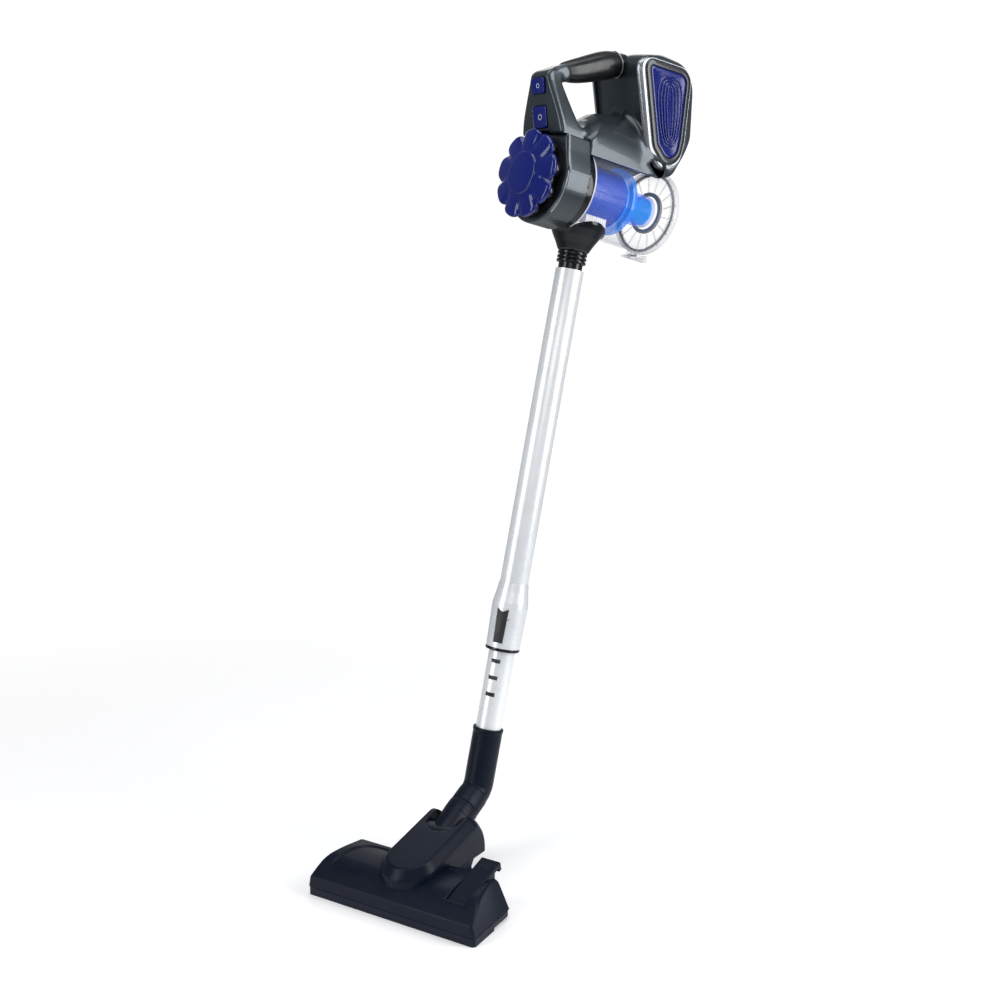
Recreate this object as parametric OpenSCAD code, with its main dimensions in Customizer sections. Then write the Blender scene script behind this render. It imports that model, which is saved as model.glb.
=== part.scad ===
// Corded stick vacuum cleaner: floor head, swivel neck, telescopic wand and hand unit.
// The origin is on the flat land of the sole, behind the suction mouth.
// +X is to the cleaner's right, +Y points to the back and +Z points up.

/* [Floor head] */
// Width of the sole
head_w = 238; // [220:1:260]
// Depth of the sole at its sides
head_d = 81; // [76:1:90]
// Distance from the front wall back to the origin
front_reach = 55; // [54:1:58]
// Height of the joint line between sole and shell
seam_z = 9.6; // [9:0.1:11]
// Height of the shell at its front edge
front_h = 25; // [23:1:28]
// Height of the shell at its rear edge
rear_h = 49; // [47:0.5:50]
// Wall thickness of the head mouldings
head_wall = 2.4; // [2:0.1:3]

/* [Suction mouth and brushes] */
// Width of the mouth
mouth_w = 176; // [150:1:186]
// Front-to-back size of the mouth
mouth_d = 23; // [18:1:24]
// How far the bristle rows drop
bristle_drop = 5; // [3:0.5:6]

/* [Tilting neck] */
// Height of the tilt axis
tilt_z = 42; // [40:1:44]
// Tilt axis behind the front wall
tilt_y = 108; // [106:1:110]
// Radius of the tilting drum
drum_r = 33; // [31:0.5:33]
// Width of the tilting drum
drum_w = 56; // [52:1:56]
// Radius of the trunnion pins
trunnion_r = 5; // [4:0.5:6]
// Outer radius of the neck tube
collar_r = 19.4; // [18.5:0.1:19.6]

/* [Elbow] */
// Elbow bend point behind the front wall
elbow_back = 187.6; // [186:0.1:189]
// Height of the elbow bend point
elbow_z = 92.3; // [91:0.1:94]
// Lean of the neck tube back from upright
collar_lean = 65.6; // [64:0.1:67]
// Turn of the elbow about the neck tube
swivel = 5.4; // [0:0.1:8]
// Angle between the neck tube and the wand
bend = 53.2; // [50:0.1:55]
// Radius of the elbow bend's centre line
bend_r = 20; // [19:0.5:24]
// Length of the elbow from its bend point to its lip
elbow_up = 78.3; // [74:0.1:82]

/* [Wand] */
// Outer radius of the inner tube
inner_r = 16; // [15.5:0.1:16.2]
// Outer radius of the outer tube
outer_r = 17.5; // [17.4:0.1:18]
// Wall of the inner tube
tube_wall = 0.8; // [0.7:0.1:1.2]
// Radial clearance of a running fit
run_fit = 0.05; // [0.02:0.01:0.1]
// Pitch of the length stops
notch_pitch = 21; // [20:0.5:22]
// Height of the lower end of the sleeve above the bend point
sleeve_low = 181; // [176:1:184]
// Height of the wand's top end above the bend point
wand_top = 651.6; // [640:1:660]

/* [Hand unit] */
// Height of the cyclone axis above the bend point, along the wand
axis_up = 746.7; // [740:0.1:752]
// Turn of the hand unit on the wand
hand_turn = -22.8; // [-26:0.1:0]
// Outer radius of the dust cup
cup_r = 50.5; // [49:0.5:51]
// Wall of the dust cup
cup_wall = 2; // [1.6:0.1:2.4]
// Rear end of the dust cup, behind the wand's axis
cup_back = 105.7; // [100:0.1:108]
// Number of petals on the front knob
petals = 9; // [9:1:9]
// Radius of the knob over its petals
knob_r = 52.8; // [50:0.1:54]
// Radius of the mask ring around the knob
mask_r = 54; // [53:0.5:55]
// Half width of the motor pod
pod_half = 45; // [44:0.5:46]
// Wall of the housing mouldings
pod_wall = 2.5; // [2:0.1:3]

/* [Hidden] */
$fn = 64;

blackish = [0.07, 0.08, 0.11];
graphite = [0.27, 0.29, 0.31];
deep_blue = [0.05, 0.07, 0.42];
clear_blue = [0.1, 0.3, 0.9, 0.6];
clear = [0.85, 0.88, 0.92, 0.3];
silver = [0.82, 0.84, 0.86];
steel = [0.6, 0.6, 0.62];
rubber_black = [0.05, 0.05, 0.05];

eps = 0.01;
gap = 0.3;
big = 400;

// Derived sizes of the head
pedal_front = [82, 19, 36.6];
pedal_size = [26, 76, 6];
pedal_tilt = 16.4;
pedal_pivot = [40, -8.5];
nose_y = 46;
plate_half = 28;
nose_top = 57;
cowl_top = 79;
mouth_y = 14;
brush_y = [7, 41];
brush_d = 4;
brush_half = 95;
link_x = 100;
link_low = seam_z + bristle_drop + 0.4;
link_top = link_low + 1.8;
screw_at = [[-108, 24], [108, 24], [-106, 66], [106, 66], [-48, 70], [48, 70]];
ear_x = drum_w / 2 + 1;
ear_t = 3.6;
roller_r = 9;
roller_w = 9;
roller_x = 46;
roller_y = 136;
cowl_half = 36;
slot_half = 20.3;

// Derived sizes of the wand
ring_low = 35.7;
bend_t = bend_r * tan(bend / 2);
spigot_r = 17;
inner_low = 38;
inner_top = 440;
stop_home = 206;
stop_low = 4;
stop_high = 8;
sleeve_r = 22.3;
sleeve_top = 262;
button_turn = 7;
button_low = 188;
button_high = 230;
button_axis = 218;
outer_bore = outer_r - 0.8;

// Derived sizes of the hand unit
cup_front = -27;
mask_front = -74;
mask_back = -38;
mask_top = 50;
knob_face = -99.7;
flange_y = 44;
cradle_r = 53.5;
hinge_at = [105, 56.8];
latch_at = [98, -56.5];
motor_at = [0, 112];
panel_lean = 18.4;
screw_boss = [60, 178];
gland_h = 130;

// Local frames: neck tube, wand and hand unit
module in_collar() {
    translate([0, elbow_back - front_reach, elbow_z]) rotate([-collar_lean, 0, 0]) children();
}
module in_wand() {
    in_collar() rotate([0, 0, swivel]) rotate([bend, 0, 0]) children();
}
module in_body() {
    in_wand() translate([0, 0, axis_up]) rotate([0, 0, hand_turn]) children();
}
// The head is drawn from its front wall
module in_head() {
    translate([0, -front_reach, 0]) children();
}
// A solid of revolution about the hand unit's front-to-back axis, drawn as radius against depth
module around_y(y0, h, r, r2 = -1) {
    translate([0, y0, 0]) rotate([-90, 0, 0]) cylinder(h = h, r1 = r, r2 = r2 < 0 ? r : r2);
}
module ring_y(y0, h, ro, ri) {
    difference() {
        around_y(y0, h, ro);
        around_y(y0 - 1, h + 2, ri);
    }
}
module along_x(x0, len, r, y, z) {
    translate([x0, y, z]) rotate([0, 90, 0]) cylinder(h = len, r = r);
}
module box(lo, hi) {
    translate(lo) cube(hi - lo);
}
module both_sides() {
    children();
    mirror([1, 0, 0]) children();
}

// ---- Floor head ----
module sole_outline(inset = 0) {
    front = head_w / 2 - inset;
    rear = head_w / 2 - 3.6 - inset;
    polygon([[-front + 3, inset], [front - 3, inset], [front, 3 + inset], [rear, head_d - 6],
        [rear - 3, head_d - 1 - inset], [rear - 7, head_d - inset], [-rear + 7, head_d - inset],
        [-rear + 3, head_d - 1 - inset], [-rear, head_d - 6], [-front, 3 + inset]]);
}
module head_sole() {
    color(blackish) in_head() difference() {
        union() {
            linear_extrude(seam_z) sole_outline();
            box([-40, head_d - 8, 3], [40, 146, 7]);
            both_sides() {
                box([ear_x, 92, 6.9], [ear_x + ear_t, 124, tilt_z]);
                along_x(ear_x, ear_t, 11, tilt_y, tilt_z);
                box([39.9, roller_y - 12, 3], [41, roller_y + 9, 12]);
                box([51, roller_y - 12, 3], [52.4, roller_y + 9, 12]);
                box([39.9, roller_y - 16, 3], [52.4, roller_y - 11.9, 12]);
            }
        }
        box([-mouth_w / 2, mouth_y, -1], [mouth_w / 2, mouth_y + mouth_d, seam_z + 1]);
        for (y = brush_y) {
            box([-brush_half - gap, y - gap, -1], [brush_half + gap, y + brush_d + gap, seam_z + 1]);
        }
        both_sides() {
            box([40, 48, -1], [100, 52, 1.5]);
            along_x(ear_x - 1, ear_t + 2, trunnion_r + run_fit, tilt_y, tilt_z);
            box([head_w / 2 - 8, 44, -1], [head_w / 2 + 1, head_d + 1, 3.5]);
        }
        both_sides() along_x(39, 14, 1.55, roller_y, roller_r);
        for (p = screw_at) {
            translate([p[0], p[1], -1]) cylinder(h = 12, r = 1.6);
            translate([p[0], p[1], -1]) cylinder(h = 4, r = 3.3);
        }
        around_drum(drum_r + gap, drum_w + 1);
    }
}
module around_drum(r, w) {
    along_x(-w / 2, w, r, tilt_y, tilt_z);
}
// Outer form of the upper shell; inset shrinks it evenly
module shell_form(inset = 0) {
    hull() {
        translate([0, 0, seam_z - (inset > 0 ? 1 : 0)]) linear_extrude(2) sole_outline(inset);
        both_sides() {
            corner_ball(6, 5, front_h - 3, 3, inset);
            corner_ball(9, 16, front_h + 10.5, 3, inset);
            corner_ball(9.5, 30, rear_h - 7.5, 3.5, inset);
            corner_ball(11, 46, rear_h - 6.5, 4, inset);
            corner_ball(21, head_d - 9, rear_h - 7, 4.5, inset);
            corner_ball(60, head_d - 8, rear_h - 4.5, 4.5, inset);
        }
    }
}
// A ball that rounds the shell: distance in from the side, depth, height and radius
module corner_ball(from_side, y, z, r, inset) {
    translate([head_w / 2 - from_side - inset, y + (y < 10 ? inset : 0), z - inset]) sphere(r = r, $fn = 16);
}
module in_pedal() {
    translate(pedal_front) rotate([pedal_tilt, 0, 0]) children();
}
module pedal_pocket(grow) {
    w = pedal_size[0] / 2 + 0.6 + grow;
    in_pedal() box([-w, -0.8 - grow, -17 - grow], [w, 90, 12]);
}
module cowl_form(inset = 0) {
    half = cowl_half - inset;
    hull() {
        translate([-half, 0, 0]) rotate([90, 0, 90]) linear_extrude(2 * half)
            polygon([[nose_y, 28], [nose_y, 54 - inset], [116, 70 - inset], [132 - inset, 68 - inset],
                [148 - inset, 54], [153 - inset, 40], [153 - inset, 28]]);
        translate([-plate_half + inset, 0, 0]) rotate([90, 0, 90]) linear_extrude(2 * (plate_half - inset))
            polygon([[nose_y, 28], [nose_y, nose_top + 7 - inset], [116, cowl_top - inset],
                [130 - inset, cowl_top - inset], [146 - inset, 64], [156 - inset, 40], [156 - inset, 28]]);
        translate([0, nose_y, 26]) cylinder(h = 20 - inset, r = half - 0.5, $fn = 32);
        translate([0, nose_y, 26]) cylinder(h = nose_top - 26 - inset, r = plate_half - inset, $fn = 32);
    }
}
module head_shell() {
    color(blackish) in_head() difference() {
        union() {
            difference() {
                shell_form();
                shell_form(head_wall);
            }
            intersection() {
                shell_form();
                union() {
                    pedal_pocket(1.6);
                    for (p = screw_at) translate([p[0], p[1], seam_z]) cylinder(h = 38, r = 4);
                }
            }
        }
        pedal_pocket(0);
        cowl_form(-0.15);
        box([-38, 70, 0], [38, 120, 60]);
        for (p = screw_at) translate([p[0], p[1], seam_z - 1]) cylinder(h = 9, r = 1.45);
        box([-link_x - 3, 3, seam_z - 1], [-brush_half, 49, 16]);
        box([brush_half, 3, seam_z - 1], [link_x + 3, 49, 16]);
        pedal_pin_bar(1.05);
    }
}
module neck_cowl() {
    color(blackish) in_head() difference() {
        cowl_form();
        difference() {
            cowl_form(2.4);
            box([-60, 0, 0], [60, 30, 46]);
        }
        box([-slot_half, 113, 20], [slot_half, 170, 90]);
        translate([0, 113, 20]) cylinder(h = 70, r = slot_half);
        box([-60, 0, 20], [60, 170, 31]);
        shell_cut();
        around_drum(drum_r + 0.6, 2 * cowl_half - 5);
    }
}
// Everything under the shell's own top surface
module shell_cut() {
    difference() {
        shell_form();
        box([-38.2, 70, 0], [38.2, 120, 60]);
    }
}
module lint_strips() {
    color("firebrick") in_head() both_sides() box([40.2, 48.2, 0], [99.8, 51.8, 1.4]);
}
module bristle_carriage() {
    color(graphite) in_head() {
        for (y = brush_y) {
            box([-brush_half, y, 4], [brush_half, y + brush_d, link_top]);
            both_sides() box([brush_half - 4, y, link_low], [link_x, y + brush_d, link_top]);
        }
        both_sides() box([link_x - 4, brush_y[0], link_low], [link_x, brush_y[1] + brush_d, link_top]);
    }
}
module bristle_rows() {
    color(steel) in_head() for (y = brush_y) box([-brush_half + 1, y + 0.8, 1.2], [brush_half - 1, y + 3.2, 4]);
}
module pedal_pin_bar(r) {
    in_pedal() along_x(-pedal_size[0] / 2 - 3.2, pedal_size[0] + 6.4, r, pedal_pivot[0], pedal_pivot[1]);
}
module pedal() {
    w = pedal_size[0] / 2;
    color(blackish) in_head() in_pedal() difference() {
        union() {
            box([-w, 0, -pedal_size[2]], [w, pedal_size[1], 0]);
            box([-w, pedal_size[1] - 5, -11], [w, pedal_size[1], -pedal_size[2] + eps]);
            box([-w + 1, pedal_pivot[0] - 3, pedal_pivot[1]], [w - 1, pedal_pivot[0] + 3, -pedal_size[2] + eps]);
            along_x(-w + 1, 2 * w - 2, 3, pedal_pivot[0], pedal_pivot[1]);
            for (i = [0:5]) box([-9 + i * 3.4, 60, -eps], [-7.6 + i * 3.4, 71, 0.8]);
        }
        along_x(-w - 1, 2 * w + 2, 1.05, pedal_pivot[0], pedal_pivot[1]);
    }
}
module pedal_pin() {
    color(steel) in_head() pedal_pin_bar(1);
}
module roller_at() {
    along_x(-roller_w / 2, roller_w, roller_r, 0, 0);
}
module roller(side) {
    color(graphite) in_head() translate([side * roller_x, roller_y, roller_r]) difference() {
        roller_at();
        along_x(-roller_w, 2 * roller_w, 1.55, 0, 0);
    }
}
module roller_left() {
    roller(-1);
}
module roller_right() {
    roller(1);
}
module roller_axles() {
    color(steel) in_head() both_sides() along_x(40, 12.4, 1.5, roller_y, roller_r);
}
module head_screws() {
    color(steel) in_head() for (p = screw_at) translate([p[0], p[1], 1]) {
        cylinder(h = 2, r = 3);
        cylinder(h = 15, r = 1.4);
    }
}

// ---- Tilting neck ----
module neck_drum() {
    color(blackish) difference() {
        union() {
            in_head() around_drum(drum_r, drum_w);
            in_collar() translate([0, 0, -84]) cylinder(h = 84 - ring_low, r = collar_r);
        }
        in_head() around_drum(drum_r - 3, drum_w - 8);
        in_collar() translate([0, 0, -80]) cylinder(h = 80, r = spigot_r + run_fit);
        in_head() along_x(-drum_w, 2 * drum_w, trunnion_r, tilt_y, tilt_z);
        in_head() box([-20, tilt_y - drum_r - 5, 12], [20, tilt_y - 10, 38]);
    }
}
module neck_pins() {
    color(steel) in_head() both_sides() along_x(drum_w / 2 - 4, 4 + ear_t + 1, trunnion_r, tilt_y, tilt_z);
}

// ---- Elbow ----
module bend_sweep(r) {
    rotate([0, 0, swivel]) translate([0, -bend_r, -bend_t]) rotate([90, 0, 90])
        rotate_extrude(angle = bend) translate([bend_r, 0]) circle(r = r);
}
module elbow() {
    color(blackish) difference() {
        union() {
            in_collar() bend_sweep(18.4);
            in_collar() translate([0, 0, -52]) cylinder(h = 52.6 - bend_t, r = spigot_r);
            in_wand() translate([0, 0, bend_t - 0.6]) cylinder(h = elbow_up - bend_t + 0.6, r = 18.5);
            in_wand() translate([0, 0, elbow_up - 4]) cylinder(h = 4, r = 19.1);
        }
        in_collar() bend_sweep(14.8);
        in_collar() translate([0, 0, -53]) cylinder(h = 53.6 - bend_t, r = 15);
        in_wand() translate([0, 0, bend_t - 0.6]) cylinder(h = elbow_up, r = 15);
        in_wand() translate([0, 0, inner_low]) cylinder(h = elbow_up, r = inner_r + run_fit);
    }
}
module swivel_ring() {
    color(blackish) in_collar() difference() {
        translate([0, 0, -ring_low + gap]) cylinder(h = ring_low - gap - bend_t, r = 19.1);
        translate([0, 0, -ring_low - 1]) cylinder(h = ring_low + 2, r = spigot_r);
    }
}
module swivel_seal() {
    color(rubber_black) in_collar() translate([0, 0, -56]) difference() {
        cylinder(h = 3, r = spigot_r + run_fit);
        translate([0, 0, -1]) cylinder(h = 5, r = 15);
    }
}

// ---- Wand ----
module tube_of(z0, z1, ro, ri) {
    difference() {
        translate([0, 0, z0]) cylinder(h = z1 - z0, r = ro);
        translate([0, 0, z0 - 1]) cylinder(h = z1 - z0 + 2, r = ri);
    }
}
module inner_tube() {
    color(silver) in_wand() difference() {
        tube_of(inner_low, inner_top, inner_r, inner_r - tube_wall);
        for (i = [-stop_low:stop_high]) rotate([0, 0, button_turn])
            box([-6, -inner_r - 1, stop_home + i * notch_pitch - 2.5], [6, -inner_r + 2.9, stop_home + i * notch_pitch + 2.5]);
    }
}
module slide_bush() {
    color("white") in_wand() tube_of(inner_top - 18, inner_top, outer_bore - run_fit, inner_r);
}
module outer_tube() {
    color(silver) in_wand() tube_of(238, wand_top, outer_r, outer_bore);
}
module tube_sleeve() {
    color(silver) in_wand() difference() {
        rotate_extrude() polygon([[inner_r + run_fit, sleeve_low], [20.9, sleeve_low], [sleeve_r, 232],
            [sleeve_r - 0.4, 238], [19.4, 252], [18.3, sleeve_top], [outer_r, sleeve_top], [outer_r, 238],
            [inner_r + run_fit, 238]]);
        rotate([0, 0, button_turn]) {
            button_form(0.4, 17.6);
            box([-4.4, -18, stop_home - 3.4], [4.4, -15, stop_home + 3.4]);
            translate([0, -20, button_axis]) rotate([0, 90, 0]) cylinder(h = 22, r = 1.05, center = true);
        }
    }
}
// Tapered thumb button standing on a chord of the sleeve; grow is the clearance round it
module button_form(grow, inner) {
    intersection() {
        translate([0, -inner, 0]) rotate([90, 0, 0]) linear_extrude(10)
            polygon([[-5.6 - grow, button_low - grow], [5.6 + grow, button_low - grow],
                [7.2 + grow, button_high + grow], [0, button_high - 4 + grow], [-7.2 - grow, button_high + grow]]);
        translate([0, 0, button_low - 5]) cylinder(h = 60, r = grow > 0 ? 30 : sleeve_r + 0.5);
    }
}
module release_button() {
    color(blackish) in_wand() rotate([0, 0, button_turn]) difference() {
        union() {
            button_form(0, 19.3);
            box([-4, -19.5, stop_home - 2], [4, -inner_r - 0.5, stop_home + 2]);
        }
        translate([0, -20, button_axis]) rotate([0, 90, 0]) cylinder(h = 30, r = 1.05, center = true);
    }
}
module release_pin() {
    color(steel) in_wand() rotate([0, 0, button_turn]) translate([0, -20, button_axis])
        rotate([0, 90, 0]) cylinder(h = 18.4, r = 1, center = true);
}
module sleeve_end_ring() {
    color(rubber_black) in_wand() tube_of(sleeve_low - 4, sleeve_low, 21.1, inner_r + 0.3);
}

// ---- Dust cup unit ----
module inlet_neck() {
    spigot = outer_bore - run_fit;
    color(blackish) in_body() difference() {
        rotate_extrude() polygon([[12.5, -135], [spigot, -135], [spigot, -97], [14.8, -96], [14.8, -87],
            [18.2, -86.5], [18.2, -84], [16, -83.6], [16, -82], [18.2, -81.6], [18.2, -79], [16, -78.6],
            [16, -77], [18.2, -76.6], [18.2, -74], [16.6, -73.6], [20.2, -71], [23, -64], [29, -54],
            [33, -46], [35, -36], [27, -36], [25, -46], [21, -54], [15, -66], [12.5, -74]]);
        around_y(-70, 130, cup_r + 0.02);
        around_y(-70, cup_front + 70, 51.62);
    }
}
module mask_outline(inset = 0) {
    intersection() {
        circle(r = mask_r - inset);
        translate([-mask_r, -mask_r]) square([2 * mask_r, mask_r + mask_top - inset]);
    }
    polygon([[-mask_r + 0.7 + inset, 8], [-43 + inset, mask_top], [43 - inset, mask_top],
        [mask_r - 0.7 - inset, 8], [0, -20]]);
}
module front_mask() {
    color(graphite) in_body() difference() {
        translate([0, mask_back, 0]) rotate([90, 0, 0]) {
            linear_extrude(-mask_front + mask_back - 3) mask_outline();
            linear_extrude(-mask_front + mask_back) mask_outline(3);
        }
        around_y(mask_front - 1, 29, 46);
        around_y(mask_front - 1, 60, 30);
        box([-16, -66, 40], [16, -46, mask_top + 1]);
    }
}
module mask_recess() {
    color(rubber_black) in_body() ring_y(mask_front + 0.5, 4, 46, 28 + run_fit);
}
module front_filter() {
    color("gainsboro") in_body() ring_y(-66, 18, 42, 12);
}
module petal_profile(core, at, r) {
    circle(r = core);
    for (i = [0:petals - 1]) rotate(90 + i * 360 / petals) translate([at, 0]) circle(r = r);
}
module knob_skirt() {
    color(rubber_black) in_body() {
        translate([0, -74.2, 0]) rotate([90, 0, 0]) linear_extrude(13.8) petal_profile(40, 38, 9);
        ring_y(-74.3, 7, 28, 24);
    }
}
module filter_knob() {
    color(deep_blue) in_body() {
        translate([0, -88, 0]) rotate([90, 0, 0]) linear_extrude(8) petal_profile(42, knob_r - 18, 18);
        around_y(knob_face, 3.8, 24.8, 34);
    }
}
module cup_collar() {
    color(blackish) in_body() ring_y(mask_back, cup_front - mask_back, 51.6, 46);
}
module dust_cup() {
    color(clear) in_body() difference() {
        union() {
            around_y(cup_front, cup_back - cup_front, cup_r);
            both_sides() {
                box([6.2, 88, 44], [10.2, 100, 60]);
                along_x(6.2, 4, 3.6, hinge_at[0], hinge_at[1]);
                box([6.2, 99, 53.2], [10.2, hinge_at[0], 60]);
                box([6.5, 94, -60], [9, 102, -46]);
            }
        }
        around_y(cup_front - 1, cup_back - cup_front + 2, cup_r - cup_wall);
        translate([0, 0, -60]) cylinder(h = 30, r = 24);
        along_x(-12, 24, 1.5, hinge_at[0], hinge_at[1]);
        along_x(-12, 24, 1.2, latch_at[0], latch_at[1]);
    }
}
module cyclone_body() {
    color(clear_blue) in_body() {
        ring_y(mask_back, 16, 37, 30);
        ring_y(flange_y - 4, 4, 36, 18);
        difference() {
            around_y(flange_y, 8, 41);
            around_y(flange_y - 1, 10, 18);
        }
        for (i = [0:5]) rotate([0, i * 60, 0]) box([-2, mask_back + 15.9, 31], [2, flange_y - 3.9, 33.4]);
    }
}
module mesh_screen() {
    color("navy") in_body() ring_y(mask_back + 16.1, flange_y - mask_back - 20.2, 34.6, 33.6);
}
module outlet_tube() {
    color(clear_blue) in_body() difference() {
        around_y(flange_y + 8, 52, 21, 19.6);
        around_y(flange_y + 7, 54, 17);
    }
}
module outlet_disc() {
    color("deepskyblue") in_body() around_y(flange_y + 54, 3, 17);
}
module cup_cap() {
    color(clear) in_body() {
        difference() {
            union() {
                around_y(106, 8, 52.5);
                along_x(-5.9, 11.8, 3.2, hinge_at[0], hinge_at[1]);
                box([-5.9, 106, 49], [5.9, hinge_at[0] + 3.2, hinge_at[1]]);
            }
            around_y(110, 5, 49.5);
            ring_y(105, 2.5, 49.5, 46.5);
            around_y(105, 6, 26);
            along_x(-12, 24, 1.55, hinge_at[0], hinge_at[1]);
        }
        for (i = [0:15]) rotate([0, 11 + i * 22.5, 0]) box([-0.6, 109.9, 30], [0.6, 112.5, 49.6]);
    }
}
module cap_boss() {
    color("gray") in_body() around_y(106.2, 4.2, 26);
}
module cap_seal() {
    color(rubber_black) in_body() ring_y(106, 1.5, 49.4, 46.6);
}
module cap_hinge_pin() {
    color(steel) in_body() along_x(-10.2, 20.4, 1.5, hinge_at[0], hinge_at[1]);
}
module cap_latch() {
    color(clear) in_body() difference() {
        union() {
            box([-6, 82, -61], [6, 118, -58]);
            along_x(-6, 12, 3.4, latch_at[0], latch_at[1]);
            box([-6, 114.6, -61], [6, 118, -53.2]);
        }
        along_x(-9, 18, 1.25, latch_at[0], latch_at[1]);
    }
}
module latch_pin() {
    color(steel) in_body() along_x(-9, 18, 1.2, latch_at[0], latch_at[1]);
}

// ---- Power unit ----
// A drum with its axis across the cleaner, at depth y and height z
module across(half, y, z, r) {
    along_x(-half, 2 * half, r, y, z, $fn = 32);
}
module pod_form(inset = 0) {
    hull() {
        across(pod_half - inset, 34, 157, 14 - inset);
        across(pod_half - inset, 86, 154, 18 - inset);
        across(pod_half - inset, 100, 84, 17 - inset);
        across(pod_half - inset, 87, 57, 18 - inset);
        across(pod_half - inset, 70, 66, 16 - inset);
        across(24 - inset, 36, 160, 17 - inset);
        across(24 - inset, 74, 170, 18 - inset);
        across(24 - inset, 108, 130, 20 - inset);
    }
}
module saddle_form(inset = 0) {
    hull() {
        box([-46 + inset, -38 + inset, 34], [46 - inset, 74, 46 - inset]);
        across(15 - inset, -30, 58, 16 - inset);
        across(16 - inset, -4, 78, 16 - inset);
        across(30 - inset, 40, 84, 18 - inset);
    }
}
module pillar_form(inset = 0) {
    hull() {
        box([-38 + inset, -77 + inset, mask_top + 0.2], [38 - inset, -38, mask_top + 4]);
        across(15 - inset, -88, 112, 9 - inset);
        across(15 - inset, -82, 112, 9 - inset);
        across(16 - inset, -32, 62, 12 - inset);
    }
}
module pillar_head(inset = 0) {
    hull() {
        across(16 - inset, -87, 114, 9 - inset);
        across(12 - inset, -69, 124, 10 - inset);
    }
}
module hand_hole() {
    hull() {
        across(60, -66, 112, 9);
        across(60, -47, 74, 9);
        across(60, -14, 98, 9);
        across(60, -20, 122, 9);
    }
}
module housing() {
    difference() {
        union() {
            pod_form();
            saddle_form();
            difference() {
                pillar_form();
                hand_hole();
            }
            pillar_head();
        }
        difference() {
            pod_form(pod_wall);
            along_x(-12, 24, 5, screw_boss[0], screw_boss[1]);
        }
        difference() {
            saddle_form(pod_wall);
            around_y(-50, 120, cradle_r + pod_wall);
        }
        in_panel() both_button_pockets();
        around_y(mask_back - 0.2, 200, cradle_r);
        box([-60, -80, 0], [60, mask_back + 0.2, mask_top + 0.2]);
        grip_form(0);
        box([-60, -37.8, 0], [60, 140, 34.5]);
        box([-12, 80, 40], [12, 130, 64]);
        vent_windows();
        translate([0, 0, gland_h]) around_y(110, 30, 6.05);
        for (p = case_screws) along_x(-30, 60, 1.6, p[0], p[1]);
    }
}
case_screws = [[-60, 62], [-79, 120], screw_boss];
// Frame of the pillar's sloping front panel; +Z leaves the panel
module in_panel() {
    translate([0, -88.7, 86]) rotate([90 + panel_lean, 0, 0]) children();
}
module both_button_pockets() {
    box([-11.8, 8.2, -9], [11.8, 26.8, 8]);
    box([-12.8, -30.8, -9], [12.8, -5.2, 8]);
    box([-10.4, -30.4, -9], [10.4, 26.4, -6.8]);
}
module grip_form(inset) {
    hull() {
        translate([0, -64, 127.5]) sphere(r = 11 - inset, $fn = 32);
        translate([0, -40, 137]) sphere(r = 15 - inset, $fn = 32);
        translate([0, 0, 155]) sphere(r = 17 - inset, $fn = 32);
        translate([0, 20, 162]) sphere(r = 13 - inset, $fn = 32);
    }
}
module grip() {
    color(rubber_black) in_body() grip_form(0.02);
}
module housing_left() {
    color(graphite) in_body() intersection() {
        housing();
        box([-big, -big, -big], [0, big, big]);
    }
}
module housing_right() {
    color(graphite) in_body() intersection() {
        housing();
        box([0, -big, -big], [big, big, big]);
    }
}
// Side profile of the vent frame, seen from the right
module vent_profile(inset = 0) {
    hull() {
        translate([36.5, 156]) circle(r = 13 - inset, $fn = 32);
        translate([82, 152.5]) circle(r = 19 - inset, $fn = 32);
        translate([88, 88]) circle(r = 18.6 - inset, $fn = 32);
        translate([84, 76]) circle(r = 22 - inset, $fn = 32);
        translate([72, 80]) circle(r = 18 - inset, $fn = 32);
    }
}
module side_plate(x0, t, inset) {
    translate([x0, 0, 0]) rotate([90, 0, 90]) linear_extrude(t) vent_profile(inset);
}
module vent_windows() {
    both_sides() side_plate(pod_half - 4, 8, 12);
}
module vent_frame(side) {
    color(graphite) in_body() mirror([side < 0 ? 1 : 0, 0, 0]) difference() {
        side_plate(pod_half, 3, 0);
        side_plate(pod_half - 1, 5, 8);
    }
}
module vent_frame_left() {
    vent_frame(-1);
}
module vent_frame_right() {
    vent_frame(1);
}
module vent_cover(side) {
    color(deep_blue) in_body() mirror([side < 0 ? 1 : 0, 0, 0]) difference() {
        side_plate(pod_half + 0.05, 3.5, 8.1);
        for (i = [0:6]) translate([pod_half - 1, 60 + i * 5, 74]) cube([6, 1.4, 70]);
    }
}
module vent_cover_left() {
    vent_cover(-1);
}
module vent_cover_right() {
    vent_cover(1);
}
module push_button(lo, hi) {
    color(deep_blue) in_body() in_panel() box(lo, hi);
}
module power_button() {
    push_button([-11.3, 8.7, -3], [11.3, 26.3, 3.2]);
}
module speed_button() {
    push_button([-12.3, -30.3, -3], [12.3, -5.7, 3.2]);
}
module switch_board() {
    color("darkgreen") in_body() in_panel() box([-10, -30, -8.6], [10, 26, -7.2]);
}
module motor_case() {
    color(steel) in_body() translate([motor_at[0], 0, motor_at[1]]) difference() {
        union() {
            around_y(61, 19, 31);
            around_y(79, 26, 24);
        }
        around_y(63, 15, 29);
        around_y(77, 26, 21.5);
        around_y(55, 60, 3.05);
        around_y(59, 5, 12);
        for (i = [0:5]) rotate([0, i * 60, 0]) translate([13, 100, 0]) rotate([-90, 0, 0]) cylinder(h = 12, r = 3.4);
    }
}
module rotor_shaft() {
    color(steel) in_body() translate([motor_at[0], 0, motor_at[1]]) {
        around_y(66, 41, 3);
        around_y(81, 17, 17);
    }
}
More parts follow.
